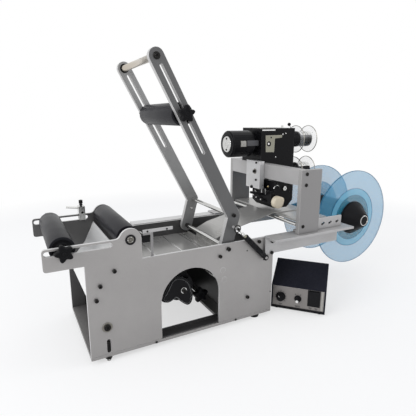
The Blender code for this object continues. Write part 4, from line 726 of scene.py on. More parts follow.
def coveredRoller(name, axis, half, body, node, journal=()):
    bm = bmesh.new()
    centre = onAxis(axis, 0, towardNear)
    outer, rim, hub, bearing, bore = (rollerShape[key] for key in ("radius", "rim", "hub", "bearing", "bore"))
    inner = outer - rollerShape["wall"]
    face = half - rollerShape["sink"]
    cover = [(inner, face), (inner, half - 0.4), (inner + 0.4, half), (outer - rim, half)]
    for step in range(1, rollerShape["rimSteps"] + 1):
        turn = math.pi / 2 * step / rollerShape["rimSteps"]
        cover.append((outer - rim + rim * math.sin(turn), half - rim + rim * math.cos(turn)))
    turned(bm, cover + [(radius, -height) for radius, height in reversed(cover)], centre, 0, 64)
    hubFace = face + rollerShape["hubOut"]
    hubProfile = [
        (inner + 0.1, face - 0.6), (inner + 0.1, face + 0.05), (hub + 1.2, face + 0.05), (hub, hubFace),
        (bearing, hubFace), (bearing - 0.3, face + 0.3), (bore + 0.25, face + 0.3), (bore + 0.2, face - 0.5),
    ]
    ringProfile = [
        (bearing - 0.5, face + 0.4), (bearing - 0.7, face + 1.4),
        (bore + 1.2, face + 1.4), (bore + 0.9, face + 0.4),
    ]
    for side in (1, -1):
        for profile, finish, segments in ((hubProfile, 1, 40), (ringProfile, 2, 32), (journal, 3, 32)):
            if profile:
                turned(bm, [(radius, side * height) for radius, height in profile], centre, finish, segments)
    makePiece(name, bm, [rollerCover, blackPlastic, bearingSteel, bearingSteel], body, replaced=node)


coveredRoller("frontRollerCover", frontAxis, 93, "front_roller", "roller_front")
coveredRoller("pressRollerCover", pressAxis, 89.3, "press_cylinder", "press_roller")
coveredRoller("rearRollerCover", rearAxis, 93, "rear_roller", "roller_rear", rollerShape["rearJournal"])
print("rollers: three covered rollers")

# lobe bearings: dark ring pressed in the plate, olive centre with a key hole, three screws around it
lobeShape = dict(
    ring=[(6.4, -4.4), (8.6, -4.4), (8.6, 0.5), (9.3, 0.5), (9.3, 1.1), (8.8, 1.5), (7.4, 1.5), (6.9, 0.8),
          (6.4, 0.6)],
    core=[(6.3, -3.5), (6.3, 0.2), (5.6, 0.8), (3.4, 0.9), (hexagon(2.2), 0.9), (hexagon(2.1), -1.4)],
    firstScrew=70, screwReach=4.5, screwLift=0.6,
)
bm = bmesh.new()
for side, toward in sides:
    place = onAxis(rearAxis, side * plateFace, toward)
    turned(bm, lobeShape["ring"], place, 0, 40, loop=True)
    turned(bm, lobeShape["core"], place, 1, 36)
    for index in range(3):
        screwTurn = turnZ(lobeShape["firstScrew"] + 120 * index)
        screwShift = shift(lobeShape["screwReach"], 0, lobeShape["screwLift"])
        buttonScrew(bm, place @ screwTurn @ screwShift, 0.9, 0.5, 2)
makePiece("lobeBearings", bm, [blackMetal, bearingSteel, steelMetal], "frame")

# star knobs on the sliding shafts: petals with rounded edges, a sunk hub and a collar behind
knobShape = dict(petals=5, tip=15.5, waist=10.2, sharp=1.15, thick=10.5, hub=6.2, collar=5.6, washer=8.4)


def starKnob(bm, matrix, stand, twist, finish):
    shape = knobShape
    low, high = stand, stand + shape["thick"]
    steps = [(-1.6, low), (-0.5, low + 0.6), (0, low + 2.0), (0, high - 2.6), (-0.5, high - 1.2),
             (-1.5, high - 0.35), (-3.0, high)]
    rings = []
    for grow, height in steps:
        petals = star(shape["petals"], shape["tip"], shape["waist"], shape["sharp"], grow, math.radians(twist))
        rings.append((petals, height))
    rings += [(shape["hub"], high), (shape["hub"] - 0.5, high - 0.9), (3.4, high - 1.1)]
    turned(bm, rings, matrix, finish, 80)
    turned(bm, [(shape["collar"], 0.1), (shape["collar"], low + 0.2)], matrix, finish, 24)


def knobShaft(name, axis, ends, shaft, body, node, twists, stand):
    bm = bmesh.new()
    turned(bm, [(r, -y) for r, y in reversed(shaft)] + shaft, onAxis(axis, 0, towardFar), 0, 28)
    for (side, toward), twist in zip(sides, twists):
        place = onAxis(axis, side * ends, toward)
        turned(bm, [(knobShape["washer"], 0.05), (knobShape["washer"], 0.9), (3.2, 0.9)], place, 0, 28)
        starKnob(bm, place, stand, twist, 1)
        turned(bm, [(2.5, stand + 8), (2.5, stand + 9.6), (2.1, stand + 9.9)], place, 1, 18)
    makePiece(name, bm, [steelMetal, knobPlastic], body, replaced=node)


shaftShape = dict(front=[(4, 0.2), (4, 108.5)], press=[(4, 0.2), (4, 89.6), (2.7, 89.9), (2.7, 101)])
knobShaft("frontKnobs", frontAxis, 108.3, shaftShape["front"], "front_carriage", "front_shaft", (180, 0), 0.9)
knobShaft("pressKnobs", pressAxis, 100.3, shaftShape["press"], "press_carriage", "press_shaft", (90, 90), 3.0)
print("shafts: star knobs on both sliding shafts")

# socket screws: their places in X and Z, the face they sit on in Y, head radius, head height, washer radius
plateSpots = [(49, 172), (23.4, 148.8), (15.5, 123.8), (259.8, 161.8)]
beamSpots = [(384.2, 176.0), (384.0, 150.6)]
screwSets = {
    "nearPlateScrews": (plateSpots + [(353.6, 178.4), (328.1, 58)], -plateFace, 3.6, 4.2, 0),
    "farPlateScrews": (plateSpots + [(328.1, 58)], plateFace, 3.6, 4.2, 0),
    "nearBeamScrews": (beamSpots, -112.4, 3.8, 4.0, 0),
    "farBeamScrews": (beamSpots, 112.4, 3.8, 4.0, 0),
    "uprightScrews": ([(449.4, 317.6), (448.8, 294.6), (446.5, 205.5)], -136, 3.9, 1.4, 0),
    "farUprightScrews": ([(449.4, 317.6), (448.8, 300.6), (446.5, 205.5)], 143, 3.9, 1.4, 0),
    "pivotScrews": ([pivotAxis], -plateFace, 4.2, 4.6, 0),
    "farPivotScrews": ([pivotAxis], plateFace, 4.2, 4.6, 0),
    "levelWashers": ([(31, 68.6)], -plateFace, 6.2, 2.6, 9.4),
    "farLevelWashers": ([(31, 68.6)], plateFace, 6.2, 2.6, 9.4),
    "baseEdgeScrews": ([(121.5, 11.6), (300, 11.6)], -plateFace, 2.2, 1.6, 0),
}
for name, (spots, y, radius, height, washer) in screwSets.items():
    bm = bmesh.new()
    toward = towardNear if y < 0 else towardFar
    for index, screwSpot in enumerate(spots):
        capScrew(bm, onAxis(screwSpot, y, toward, 17 * index), radius, height, 0, washer, 1)
    makePiece(name, bm, [screwBlack, bearingSteel if washer else steelMetal], "frame")

# pressed caps over the feed rollers' bearings
capShape = dict(spots=((267, 131), (270.7, 110)), profile=[(6.2, 0.01), (6.2, 0.16), (5.9, 0.24)])
bm = bmesh.new()
for side, toward in sides:
    for capSpot in capShape["spots"]:
        turned(bm, capShape["profile"], onAxis(capSpot, side * plateFace, toward), 0, 32)
makePiece("bearingCaps", bm, [plateMetal], "frame", angle=60)

# plain small holes, shown as sunk dark plugs
plugShape = dict(
    plate=[(324.7, 162.9), (367.2, 135.6), (389.0, 57.0)],
    rail=[(490.6, 199.5), (512.5, 199.9), (534.0, 200.4), (556.0, 200.8)], railFace=-125.7,
)
bm = bmesh.new()
for plug in plugShape["plate"]:
    turned(bm, [(1.7, 0.02), (1.5, 0.14)], onAxis(plug, -plateFace, towardNear), 0, 16)
for plug in plugShape["rail"]:
    turned(bm, [(2.75, 0.02), (2.6, 0.16)], onAxis(plug, plugShape["railFace"], towardNear), 0, 18)
makePiece("plugHoles", bm, [screwBlack], "frame")

# levelling screws: black nut and collar in the slot, silver thread down to the bench
levelShape = dict(
    x=31.2, y=104.6, thread=3.4, pitch=0.72, turns=12, nut=5.6,
    rod=[(3.0, 15.3), (3.3, 16), (3.3, 33.5), (2.9, 34.2)],
    collar=[(2.9, 34.2), (3.4, 34.6), (3.4, 38.6), (2.8, 39.2)],
)
for side, name in ((-1, "nearLevelScrew"), (1, "farLevelScrew")):
    bm = bmesh.new()
    place = local(levelShape["x"], side * levelShape["y"], 0)
    turned(bm, levelShape["rod"], place, 0, 20)
    turned(bm, levelShape["collar"], place, 0, 20)
    crest, nut = levelShape["thread"], levelShape["nut"]
    thread = []
    for step in range(levelShape["turns"]):
        climb = step * levelShape["pitch"]
        thread += [(crest - 0.5, 0.4 + climb), (crest, 0.76 + climb)]
    turned(bm, thread, place, 1, 20)
    flats = ((nut - 0.3, 5.4), (nut, 5.8), (nut, 8.4), (nut - 0.3, 8.8))
    turned(bm, [(hexagon(flat), height) for flat, height in flats], place, 0, 24)
    makePiece(name, bm, [screwBlack, steelMetal], "frame")
print("fasteners: plate, beam, upright and levelling screws")

# lever: dark rounded pads at the handle ends, bolts, warm handle tube, knee rod bolts
leverShape = dict(
    outerFace=100, innerFace=90, knee=(294.9, 240.2), pinHole=(293.1, 214.6), springPin=(294.3, 216.3),
    pad=[(9.2, 0.02), (9.2, 0.35), (8.8, 0.6), (7.0, 0.6)],
    pinHead=[(3.4, 0.02), (3.4, 0.5), (2.9, 0.9), (1.2, 0.9)],
    handle=[(6.25, 83.4), (6.6, 84), (6.6, 88.6), (6.0, 89.2)],
)
bm = bmesh.new()
for side, toward in sides:
    inward = (0, -side, 0)
    capScrew(bm, onAxis(handleAxis, side * leverShape["outerFace"], toward), 5.0, 3.2, 0, 6.4, 0)
    turned(bm, leverShape["pad"], onAxis(handleAxis, side * 89.9, inward), 0, 36)
    capScrew(bm, onAxis(leverShape["knee"], side * leverShape["outerFace"], toward), 3.9, 4.0)
    pinHole = onAxis(leverShape["pinHole"], side * leverShape["innerFace"], inward)
    turned(bm, [(2.2, 0.02), (2.0, 0.3)], pinHole, 1, 14)
turned(bm, leverShape["pinHead"], onAxis(leverShape["springPin"], -119.5, towardNear), 0, 20)
makePiece("leverBolts", bm, [screwBlack, steelMetal], "lever")
bm = bmesh.new()
handle = leverShape["handle"]
turned(bm, [(r, -y) for r, y in reversed(handle)] + handle, onAxis(handleAxis, 0, towardFar), 0, 36)
makePiece("handleTube", bm, [handleMetal], "lever", replaced="handle_rod")

# lever axle: slim rod with turned dark ends, and two spring washers
axleShape = dict(
    end=[(5.6, 78), (5.6, 87), (5.0, 88.4), (4.6, 89.6)],
    washer=[(7.2, 100.6), (7.2, 102.6), (4.6, 102.6), (4.6, 100.6)],
)
bm = bmesh.new()
centre = onAxis(pivotAxis, 0, towardFar)
for side in (-1, 1):
    turned(bm, [(r, side * y) for r, y in axleShape["end"]], centre, 0, 26)
    turned(bm, [(r, side * y) for r, y in axleShape["washer"]], centre, 0, 26, loop=True)
makePiece("axleCollars", bm, [screwBlack], "frame")

# return spring: a ring and a silver link on the lever's pin, a coil and two collars on the plate's stud
springShape = dict(
    plane=-116.5, stud=(366.8, 143.2), ring=7.0, wire=1.1, coil=5.0, coilWire=1.0, coilTurns=26,
    eye=[(3.25, -2), (3.25, 2), (5.9, 2), (6.4, 1.5), (6.4, -1.5), (5.9, -2)],
    lowCollar=[(4.4, 0), (6.1, 0.5), (6.1, 5.0), (5.6, 5.6), (4.4, 5.6)],
    highCollar=[(4.3, 63.5), (5.6, 63.5), (6.1, 64.0), (6.1, 67.4), (5.6, 67.9), (4.3, 67.9)],
)
springPlane, wire = springShape["plane"], springShape["wire"]
hookSpot = Vector((leverShape["springPin"][0], springPlane, leverShape["springPin"][1]))
studSpot = Vector((springShape["stud"][0], springPlane, springShape["stud"][1]))
along = (studSpot - hookSpot).normalized()


def onSpring(start, *distances):
    return [start + along * distance for distance in distances]


bm = bmesh.new()
rings = []
for index in range(28):
    angle = 2 * math.pi * index / 28
    out = Vector((math.cos(angle), 0, math.sin(angle)))
    section = circle(springShape["ring"], 0, wire, 8)
    rings.append([hookSpot + out * reach + Vector((0, lift, 0)) for reach, lift in section])
loft(bm, rings, machine, 0, loop=True)
linkStart = hookSpot + along * 8.0
tube(bm, onSpring(linkStart, 0, 6, 9), [1.4, 1.6, 2.6], 1, 12)
tube(bm, onSpring(linkStart, 8.5, 9.4, 13.4, 14.2), [2.4, 3.3, 3.3, 2.6], 1, 16)
tube(bm, onSpring(linkStart, 14.0, 16, 58), [2.2, 3.3, 3.3], 2, 14)
makePiece("springHook", bm, [screwBlack, steelMetal, bracketOlive], "return_hook", replaced="spring_hook")

bm = bmesh.new()
turned(bm, springShape["eye"], onAxis(springShape["stud"], springPlane, towardNear), 0, 30, loop=True)
tube(bm, onSpring(studSpot, -5.4, -8.5), 2.0, 0, 12)
towardHook = (-along).to_track_quat("Z", "Y").to_matrix().to_4x4()
place = machine @ Matrix.Translation(studSpot - along * 7.6) @ towardHook
turned(bm, springShape["lowCollar"], place, 0, 28)
turned(bm, springShape["highCollar"], place, 0, 28, loop=True)
coilEnds = onSpring(studSpot, -13, -71.2)
tube(bm, helix(*coilEnds, springShape["coil"], springShape["coilTurns"], 12), springShape["coilWire"], 1, 6)
makePiece("springCoil", bm, [blackPlastic, blackMetal], "return_sleeve", angle=50, replaced="spring_sleeve")
print("lever: bolts, handle and spring")


# chute: small screws through its folded flanges against both plates
chuteShape = dict(flange=102.3, spots=[(30, 150), (52, 131)])
chutePlaces = []
for side in (-1, 1):
    chutePlaces += [onAxis(place, side * chuteShape["flange"], (0, -side, 0)) for place in chuteShape["spots"]]
buttonSet("chuteScrews", chutePlaces, 2.3, 1.3)

# angle rails on the base along both plates, coloured near black as painted shade, and the apron under the
# ramp's front edge
railShape = dict(front=44, lipFront=64, rear=268, outer=104.4, inner=83.4, lip=85.0)
railSlabs = []
for side in (-1, 1):
    low, high = sorted((side * railShape["outer"], side * railShape["inner"]))
    railSlabs.append(((railShape["front"], low, 15.02), (railShape["rear"], high, 16.6), 0))
    low, high = sorted((side * railShape["lip"], side * railShape["inner"]))
    railSlabs.append(((railShape["lipFront"], low, 16.4), (railShape["rear"], high, 22.0), 0))
slabSet("baseRails", railSlabs, [railPaintedShade], bevel=0.0003)
apronShape = dict(front=283.7, back=284.4, half=99.5, foot=152.1, top=175.9, notch=47, notchTop=157.0)
front, back, half, foot, notch = (apronShape[key] for key in ("front", "back", "half", "foot", "notch"))
apronSlabs = [
    ((front, -half, foot), (back, notch, apronShape["top"]), 0),
    ((front, notch, foot), (back, half, apronShape["notchTop"]), 0),
    ((front - 0.15, -half, 157.2), (front, notch, 158.4), 1),
]
slabSet("rampApron", apronSlabs, [sheetMetal, brightEdge])

# deck seams: bright folded lips where two sheets meet, and sunk screws beside them
deckShape = dict(
    seams=(155.6, 216.6, 259.5, 269.5), half=100.5, screws=(112, 147.5, 164, 209, 226, 273), screwY=92,
)
half = deckShape["half"]
seamSlabs = [((x - 1.0, -half, 151.6), (x + 1.0, half, 152.6), 0) for x in deckShape["seams"]]
slabSet("deckSeams", seamSlabs, [brightEdge], bevel=0.0002)
deckPlaces = [local(x, side * deckShape["screwY"], 152) for x in deckShape["screws"] for side in (-1, 1)]
buttonSet("deckScrews", deckPlaces, 2.1, 0.35, steelMetal)

# label sensor: bright strip on the fork block's edge, bar above it and post, with their bolts
sensorShape = dict(
    face=-102.7, back=-100.6, bolts=((113.0, 232.8), (150.0, 232.8)),
    strip=((103.2, -100.1, 228.6), (104.3, -85.6, 229.9)), topScrews=(-96.4, -89.2),
    lights=(217.5, 224.5), light=[(1.5, 0.02), (1.5, 0.5), (1.1, 0.7)],
)
bm = bmesh.new()
slab(bm, *sensorShape["strip"])
for y in sensorShape["topScrews"]:
    buttonScrew(bm, local(112.5, y, 229), 1.7, 0.9, 1)
for z in sensorShape["lights"]:
    turned(bm, sensorShape["light"], local(104, -93, z, towardFront), 2, 16)
makePiece("sensorParts", bm, [brightEdge, screwBlack, whitePlastic], "sensor")
face, back = sensorShape["face"], sensorShape["back"]
boltPlaces = [onAxis(bolt, face, towardNear) for bolt in sensorShape["bolts"]]
buttonSet("sensorBolts", boltPlaces, 1.9, 1.0, body="sensor")
barSlabs = [((104.2, face, 230.4), (161.8, back, 236.3), 0)]
slabSet("sensorBar", barSlabs, [barMetal], "sensor", bevel=0.0004)
postSlabs = [((118.6, face, 163.2), (123.4, back, 230.6), 0), ((104.2, face, 226.4), (119, back, 230.5), 0)]
slabSet("sensorPost", postSlabs, [uprightMetal], "sensor", bevel=0.0004, replaced="sensor_bracket")

# clamp: turned collar under the black screw, and a small screw in the block's side
clampShape = dict(
    place=(35.5, 105.5, 247.5),
    collar=[(2.6, -2.2), (2.6, 0.02), (4.0, 0.02), (4.0, 0.8), (2.8, 1.0), (2.8, 3.4)],
)
bm = bmesh.new()
place = local(*clampShape["place"])
turned(bm, clampShape["collar"], place, 1, 24)
capScrew(bm, place @ shift(0, 0, 3.2), 4.1, 7.2)
capScrew(bm, local(36, 96.7, 232, towardNear), 2.5, 1.0)
makePiece("clampParts", bm, [screwBlack, blackMetal], "clamp", replaced="clamp_screw")

# coder motor: round end plate with screws, bevel ring, bare grey plate, and a grey band on part of the barrel
# that is a painted highlight
motorShape = dict(
    y=48.1, z=370.2, radius=31.1, steps=14,
    end=[(18.6, 0.02), (18.6, 0.5), (17.9, 1.2), (8.4, 1.2), (8.0, 1.9), (3.2, 1.9), (3.0, 1.2)],
    bevelRing=[(24.4, 0.02), (24.4, 0.35), (23.6, 0.75), (19.6, 0.75), (19.2, 0.35), (19.2, 0.02)],
    plates=((384.5, 399, -8, 16), (402, 433.5, -6, 17)),
)
motorY, motorZ = motorShape["y"], motorShape["z"]
bm = bmesh.new()
place = local(365.2, motorY, motorZ, towardFront)
turned(bm, motorShape["end"], place, 0, 48)
turned(bm, motorShape["bevelRing"], place, 1, 56, loop=True)
for side in (-1, 1):
    buttonScrew(bm, local(364.0, motorY, motorZ + side * 12.8, towardFront), 2.5, 1.2, 1)
makePiece("motorEnd", bm, [steelMetal, blackMetal], "frame")


def wrappedSheet(bm, low, high, startAngle, endAngle, steps, centre, inner, outer, finish):
    # a thin sheet bent around an axis along X, between two angles
    rows = []
    for index in range(steps + 1):
        angle = math.radians(startAngle + (endAngle - startAngle) * index / steps)
        corners = ((low, inner), (high, inner), (high, outer), (low, outer))
        rows.append([(x, centre[0] - reach * math.cos(angle), centre[1] + reach * math.sin(angle))
                     for x, reach in corners])
    loft(bm, rows, machine, finish)


bm = bmesh.new()
for finish, plate in enumerate(motorShape["plates"]):
    wrappedSheet(bm, *plate, motorShape["steps"], (motorY, motorZ), motorShape["radius"], 31.55, finish)
makePiece("motorPlates", bm, [greyCard, barrelPaintedHighlight], "frame")
print("details: chute, deck, sensor, clamp and coder motor")

# adapter plate: two small screws, and a bolt in a sunk ring
adapterShape = dict(
    face=422.7, screws=((7.4, 328.2), (7, 287.6)), bolt=(13, 307.3),
    ring=[(6.6, 0.02), (6.6, 0.35), (6.0, 0.6), (4.2, 0.6)],
)
bm = bmesh.new()
for y, z in adapterShape["screws"]:
    capScrew(bm, local(adapterShape["face"], y, z, towardFront), 2.6, 2.2)
place = local(adapterShape["face"], *adapterShape["bolt"], towardFront)
turned(bm, adapterShape["ring"], place, 1, 30)
capScrew(bm, place, 3.8, 4.4)
makePiece("adapterBolts", bm, [screwBlack, bearingSteel], "frame")

# coder body: folded olive bracket with two holes, top strips and screws
coderShape = dict(
    face=8, bracketThick=1.3, pivot=(456.4, 371), pivotHole=6.3, smallHole=(462, 385.6, 2.2),
    bracket=[(446, 390.6), (495, 391.0), (494, 385.2), (473.4, 383.2), (472.4, 351), (448, 352)],
    topStrip=((436.2, 7.2, 401.6), (474, 8.9, 404.2)), topSheet=((436.6, 12, 407), (470, 58, 407.7)),
    screws=((497.6, 392.6), (506.6, 394.6), (479.0, 338.8), (560, 396), (592, 396), (592, 282)),
)
coderFace, pivot = coderShape["face"], coderShape["pivot"]
bm = bmesh.new()
facePlane = Matrix.Translation(spot(0, coderFace, 0)) @ standUp @ Matrix.Scale(0.001, 4)
bracketHoles = [circle(*coderShape["smallHole"], 18), circle(*pivot, coderShape["pivotHole"], 28)]
extruded(bm, coderShape["bracket"], 0.02, coderShape["bracketThick"], facePlane, bracketHoles)
capScrew(bm, onAxis(pivot, coderFace, towardNear), 2.6, 0.9, 2)
turned(bm, [(6.0, 0.02), (6.0, 0.3), (3.8, 0.3)], onAxis(pivot, coderFace, towardNear), 1, 28)
slab(bm, *coderShape["topStrip"], finish=2)
slab(bm, *coderShape["topSheet"], finish=3)
for coderScrew in coderShape["screws"]:
    buttonScrew(bm, onAxis(coderScrew, coderFace, towardNear), 1.7, 0.9, 2)
buttonScrew(bm, local(435.3, 21.8, 342.5, towardFront), 2.6, 1.2, 1)
makePiece("coderBracket", bm, [bracketOlive, screwBlack, brightEdge, greyCard], "frame", angle=28)

# small lever with a ball on top of the coder
ballShape = dict(
    radius=4.1, steps=10, centre=(519, 12.2, 415.6), tab=((494.5, 10.5, 407), (500.5, 12.0, 413.5)),
    rod=[(526.5, 13, 405.5), (524.5, 12.6, 409.5), (520.5, 12.2, 413.0)],
)
bm = bmesh.new()
tube(bm, ballShape["rod"], [1.2, 1.1, 1.0], 0, 10)
ball = []
for step in range(1, ballShape["steps"]):
    angle = math.pi * step / ballShape["steps"]
    ball.append((ballShape["radius"] * math.sin(angle), -ballShape["radius"] * math.cos(angle)))
turned(bm, ball, local(*ballShape["centre"]), 1, 24)
slab(bm, *ballShape["tab"])
makePiece("coderLever", bm, [steelMetal, blackPlastic], "frame", bevel=0.0003)

# ribbon spools: two clear discs with bright rims on a banded black drum, with bright steel bands over the
# drum's upper side as a painted reflection
spoolShape = dict(
    y=30, rim=34.0, thick=1.7, discs=(556.2, 597.3), drum=19.5, grooves=5, groovePitch=3.4, band=19.0,
    bandFaces=((557.2, 0), (560, 0), (560.4, 0.7), (570, 0.7), (570.4, 0), (573, 0), (573.4, 0.7), (586, 0.7),
              (586.4, 0), (594.6, 0)),
    nut=[(9.3, 596.0), (9.3, 598.2), (8.8, 599), (5.4, 599), (5.2, 598), (2.4, 598)],
    paintedShineBands=((559.5, 567), (568.6, 575.6), (577, 593.6)),
)


def ribbonSpool(name, body, node, z, coreFinish):
    bm = bmesh.new()
    y, rim, drum, band = (spoolShape[key] for key in ("y", "rim", "drum", "band"))
    place = local(0, y, z, (1, 0, 0))
    for x in spoolShape["discs"]:
        low, high = x - spoolShape["thick"] / 2, x + spoolShape["thick"] / 2
        turned(bm, [(9.4, low), (rim - 1.2, low), (rim - 1.2, high), (9.4, high)], place, 0, 56, loop=True)
        edge = []
        for step in range(8):
            angle = math.pi * 2 * step / 8
            edge.append((rim - 0.8 + 0.8 * math.cos(angle), x + 1.2 * math.sin(angle)))
        turned(bm, edge, place, 3, 56, loop=True)
    profile = [(14.5, 537.5), (drum - 0.6, 537.8)]
    for step in range(spoolShape["grooves"]):
        climb = step * spoolShape["groovePitch"]
        for cut, x in ((0, 538.6), (0, 541.0), (0.7, 541.3), (0.7, 541.7)):
            profile.append((drum - cut, x + climb))
    turned(bm, profile + [(drum, 555.2)], place, 1, 44)
    core = [(band - cut, x) for x, cut in spoolShape["bandFaces"]] + [(11.0, 595.4), (11.0, 596.3)]
    turned(bm, core, place, coreFinish, 48)
    turned(bm, spoolShape["nut"], place, 1, 36)
    # bright steel bands over the drum's upper side only: a painted reflection
    for low, high in spoolShape["paintedShineBands"]:
        wrappedSheet(bm, low, high, 34, 96, 10, (y, z), band + 0.02, band + 0.3, 4)
    makePiece(name, bm, [clearPlastic, blackPlastic, ribbonFilmPaintedSheen, bearingSteel, brightEdge], body, replaced=node)


# the upper spool's core takes the ribbon film, whose upper side is a painted highlight
ribbonSpool("upperSpool", "ribbon_upper", "ribbon_spool_upper", 379, 2)
ribbonSpool("lowerSpool", "ribbon_lower", "ribbon_spool_lower", 301, 1)
print("coder: bracket, lever and ribbon spools")

# print head: hex nut with a wire bow, screws, bright linkage parts, white tab, three pins and a small coil
headShape = dict(
    face=-40, nutSpot=(470, 271), bowCentre=(447, 271), bow=8.5,
    nut=[(hexagon(4.6), 0.02), (hexagon(4.9), 0.4), (hexagon(4.9), 3.0), (hexagon(4.5), 3.4), (2.7, 3.4),
         (2.6, 1.2)],
    screws=((447.8, 284.0, 2.3), (486, 284, 2.3), (486, 262, 1.9), (440, 262, 1.9)),
    pins=((16, 250), (4, 246), (-14, 244)), tab=((431.2, -6.2, 257), (432.1, -3.4, 266.5)),
    links=(
        ([(431.3, 12, 262), (431.1, 2, 272), (431.3, -8, 276)], 1.0),
        ([(431.2, -20, 256), (431.2, -20, 270)], 1.2),
    ),
    coil=((429.5, 22, 262), (429.5, 8, 252), 2.0, 7, 10),
    clawTip=[(431, 20, 268), (426, 22, 270), (423.5, 24, 274)],
    frontPeg=[(392.6, -16, 277.4), (396, -16, 276.6)],
    claw=[(426.0, 22, 270), (424.5, 19, 255), (425.5, 8, 245), (428, -8, 241), (430.5, -24, 240.5)],
    clawHub=[(4.2, 0.02), (4.2, 3.4), (3.6, 4.0), (2.0, 4.0)],
)
headFace = headShape["face"]
bm = bmesh.new()
turned(bm, headShape["nut"], onAxis(headShape["nutSpot"], headFace, towardNear), 0, 36)
bow = []
for degrees in range(20, 171, 15):
    angle = math.radians(degrees)
    bowX, bowZ = headShape["bowCentre"]
    bow.append((bowX + headShape["bow"] * math.cos(angle), -41.2, bowZ + headShape["bow"] * math.sin(angle)))
tube(bm, bow, 0.9, 0, 6)
for x, z, radius in headShape["screws"]:
    buttonScrew(bm, local(x, headFace, z, towardNear), radius, 1.2, 1)
slab(bm, *headShape["tab"], finish=2)
for points, radius in headShape["links"]:
    tube(bm, points, radius, 0, 6)
buttonScrew(bm, local(432, -28, 276, towardFront), 2.4, 1.2, 3)
for y, z in headShape["pins"]:
    turned(bm, [(1.9, 0.0), (1.9, 5.6), (1.4, 6.2)], local(428, y, z, towardFront), 0, 14)
tube(bm, helix(*headShape["coil"]), 0.5, 0, 5)
makePiece("headFittings", bm, [steelMetal, screwBlack, whitePlastic, brassMetal], "head")
bm = bmesh.new()
tube(bm, headShape["claw"], [1.6, 2.4, 2.7, 2.4, 1.6], 0, 10)
tube(bm, headShape["clawTip"], [2.2, 2.4, 1.8], 0, 10)
tube(bm, headShape["frontPeg"], 3.5, 0, 14)
turned(bm, headShape["clawHub"], local(431, 20, 267, towardFront), 0, 22)
makePiece("headClaw", bm, [blackMetal], "head", angle=50)

# clear tube between two black caps, held by two tabs
lampShape = dict(
    place=(500.6, -18, 253), tube=[(3.4, 0), (3.4, 13), (3.0, 13.4)],
    lowCap=[(3.9, -2.0), (3.9, 0.4), (3.5, 0.9)], highCap=[(3.9, 12.6), (3.9, 15.2), (3.4, 15.6)],
)
bm = bmesh.new()
for part, finish in (("tube", 0), ("lowCap", 1), ("highCap", 1)):
    turned(bm, lampShape[part], local(*lampShape["place"]), finish, 24)
for z in (249, 268):
    slab(bm, (495.8, -24, z), (501, -12, z + 2.4), finish=1)
makePiece("headLamp", bm, [clearPlastic, blackMetal], "head", bevel=0.0003)

# cream dial: a round edge that grows into one blunt tab, with a small dark mark
dialShape = dict(
    spot=(447, 241.2), round=14.1, tab=2.1, tabTurn=30, tabHalf=41, mark=(9.6, 5.4),
    edge=((0.8, 1, 0.3), (0, 1, 1.1), (0, 1, 11.2), (0.5, 1, 12.6), (1.6, 1, 13.5), (1.6, 0.7, 13.9),
          (1.6, 0.3, 14.0)),
)


def dialEdge(inset, share):
    def reach(angle):
        turn = (math.degrees(angle) - dialShape["tabTurn"] + 180) % 360 - 180
        bump = max(0.0, math.cos(math.radians(turn * 2.2))) ** 2 if abs(turn) < dialShape["tabHalf"] else 0.0
        return (dialShape["round"] + dialShape["tab"] * bump - inset) * share
    return reach


bm = bmesh.new()
place = onAxis(dialShape["spot"], headFace, towardNear)
turned(bm, [(dialEdge(inset, share), height) for inset, share, height in dialShape["edge"]], place, 0, 72)
turned(bm, [(1.5, 14.0), (1.4, 14.25), (0.9, 14.3)], place @ shift(*dialShape["mark"], -0.9), 1, 14)
makePiece("headDial", bm, [creamPlastic, screwBlack], "head_dial", angle=40, replaced="head_knob")
print("print head: fittings, claw, lamp and dial")

# take-up spool: three-lobed black wheel in front of the flange, its bolt, and the star knob behind it
wheelShape = dict(
    lobes=[(143.5, 81.1), (158, 74), (174.7, 80.2), (184, 70), (199.1, 58.9), (208.4, 64), (211, 80),
           (207.4, 97.7), (203, 108), (195.9, 116.5), (181.1, 124.4), (167, 121), (160, 110), (152, 96)],
    faces=((-74.3, 0.05), (-75.2, 0.0), (-82.6, 0.0), (-83.9, 0.045), (-84.2, 0.12), (-82.9, 0.16),
           (-82.4, 0.55)),
    washer=[(6.3, 0.1), (6.6, 0.4), (6.6, 1.8), (6.2, 2.2)],
    bolt=[(hexagon(4.1), 2.2), (hexagon(4.3), 2.6), (hexagon(4.3), 6.4), (hexagon(3.8), 6.9)],
    knob=(245, 57), knobScale=1.12,
)


def smoothLoop(points, steps):
    # a closed curve through given points
    curve = []
    for index in range(len(points)):
        before, here, after, beyond = (Vector(points[(index + step) % len(points)]) for step in (-1, 0, 1, 2))
        for step in range(steps):
            t = step / steps
            bend = 2 * before - 5 * here + 4 * after - beyond
            swing = 3 * here - before - 3 * after + beyond
            curve.append(0.5 * (2 * here + (after - before) * t + bend * t * t + swing * t ** 3))
    return curve


outline = smoothLoop(wheelShape["lobes"], 4)
middle = sum(outline, Vector((0, 0))) / len(outline)
rings = []
for y, inset in wheelShape["faces"]:
    rings.append([(p.x + (middle.x - p.x) * inset, y, p.y + (middle.y - p.y) * inset) for p in outline])
bm = bmesh.new()
loft(bm, rings, machine)
makePiece("takeupWheel", bm, [wheelBlack], "takeup", angle=40)
bm = bmesh.new()
turned(bm, [(4.0, -105), (4.0, 44)], onAxis(wheelShape["knob"], 0, towardNear), 0, 20)
knobPlace = onAxis(wheelShape["knob"], -44, towardNear) @ Matrix.Scale(wheelShape["knobScale"], 4)
starKnob(bm, knobPlace, 0.4, 20, 1)
makePiece("lowerKnob", bm, [steelMetal, knobPlastic], "frame")
bm = bmesh.new()
place = onAxis(takeupAxis, -82.2, towardNear)
turned(bm, wheelShape["washer"], place, 1, 32)
turned(bm, wheelShape["bolt"], place, 0, 30)
makePiece("takeupBolt", bm, [screwBlack, steelMetal], "takeup")
print("take-up: wheel, knob and bolt")

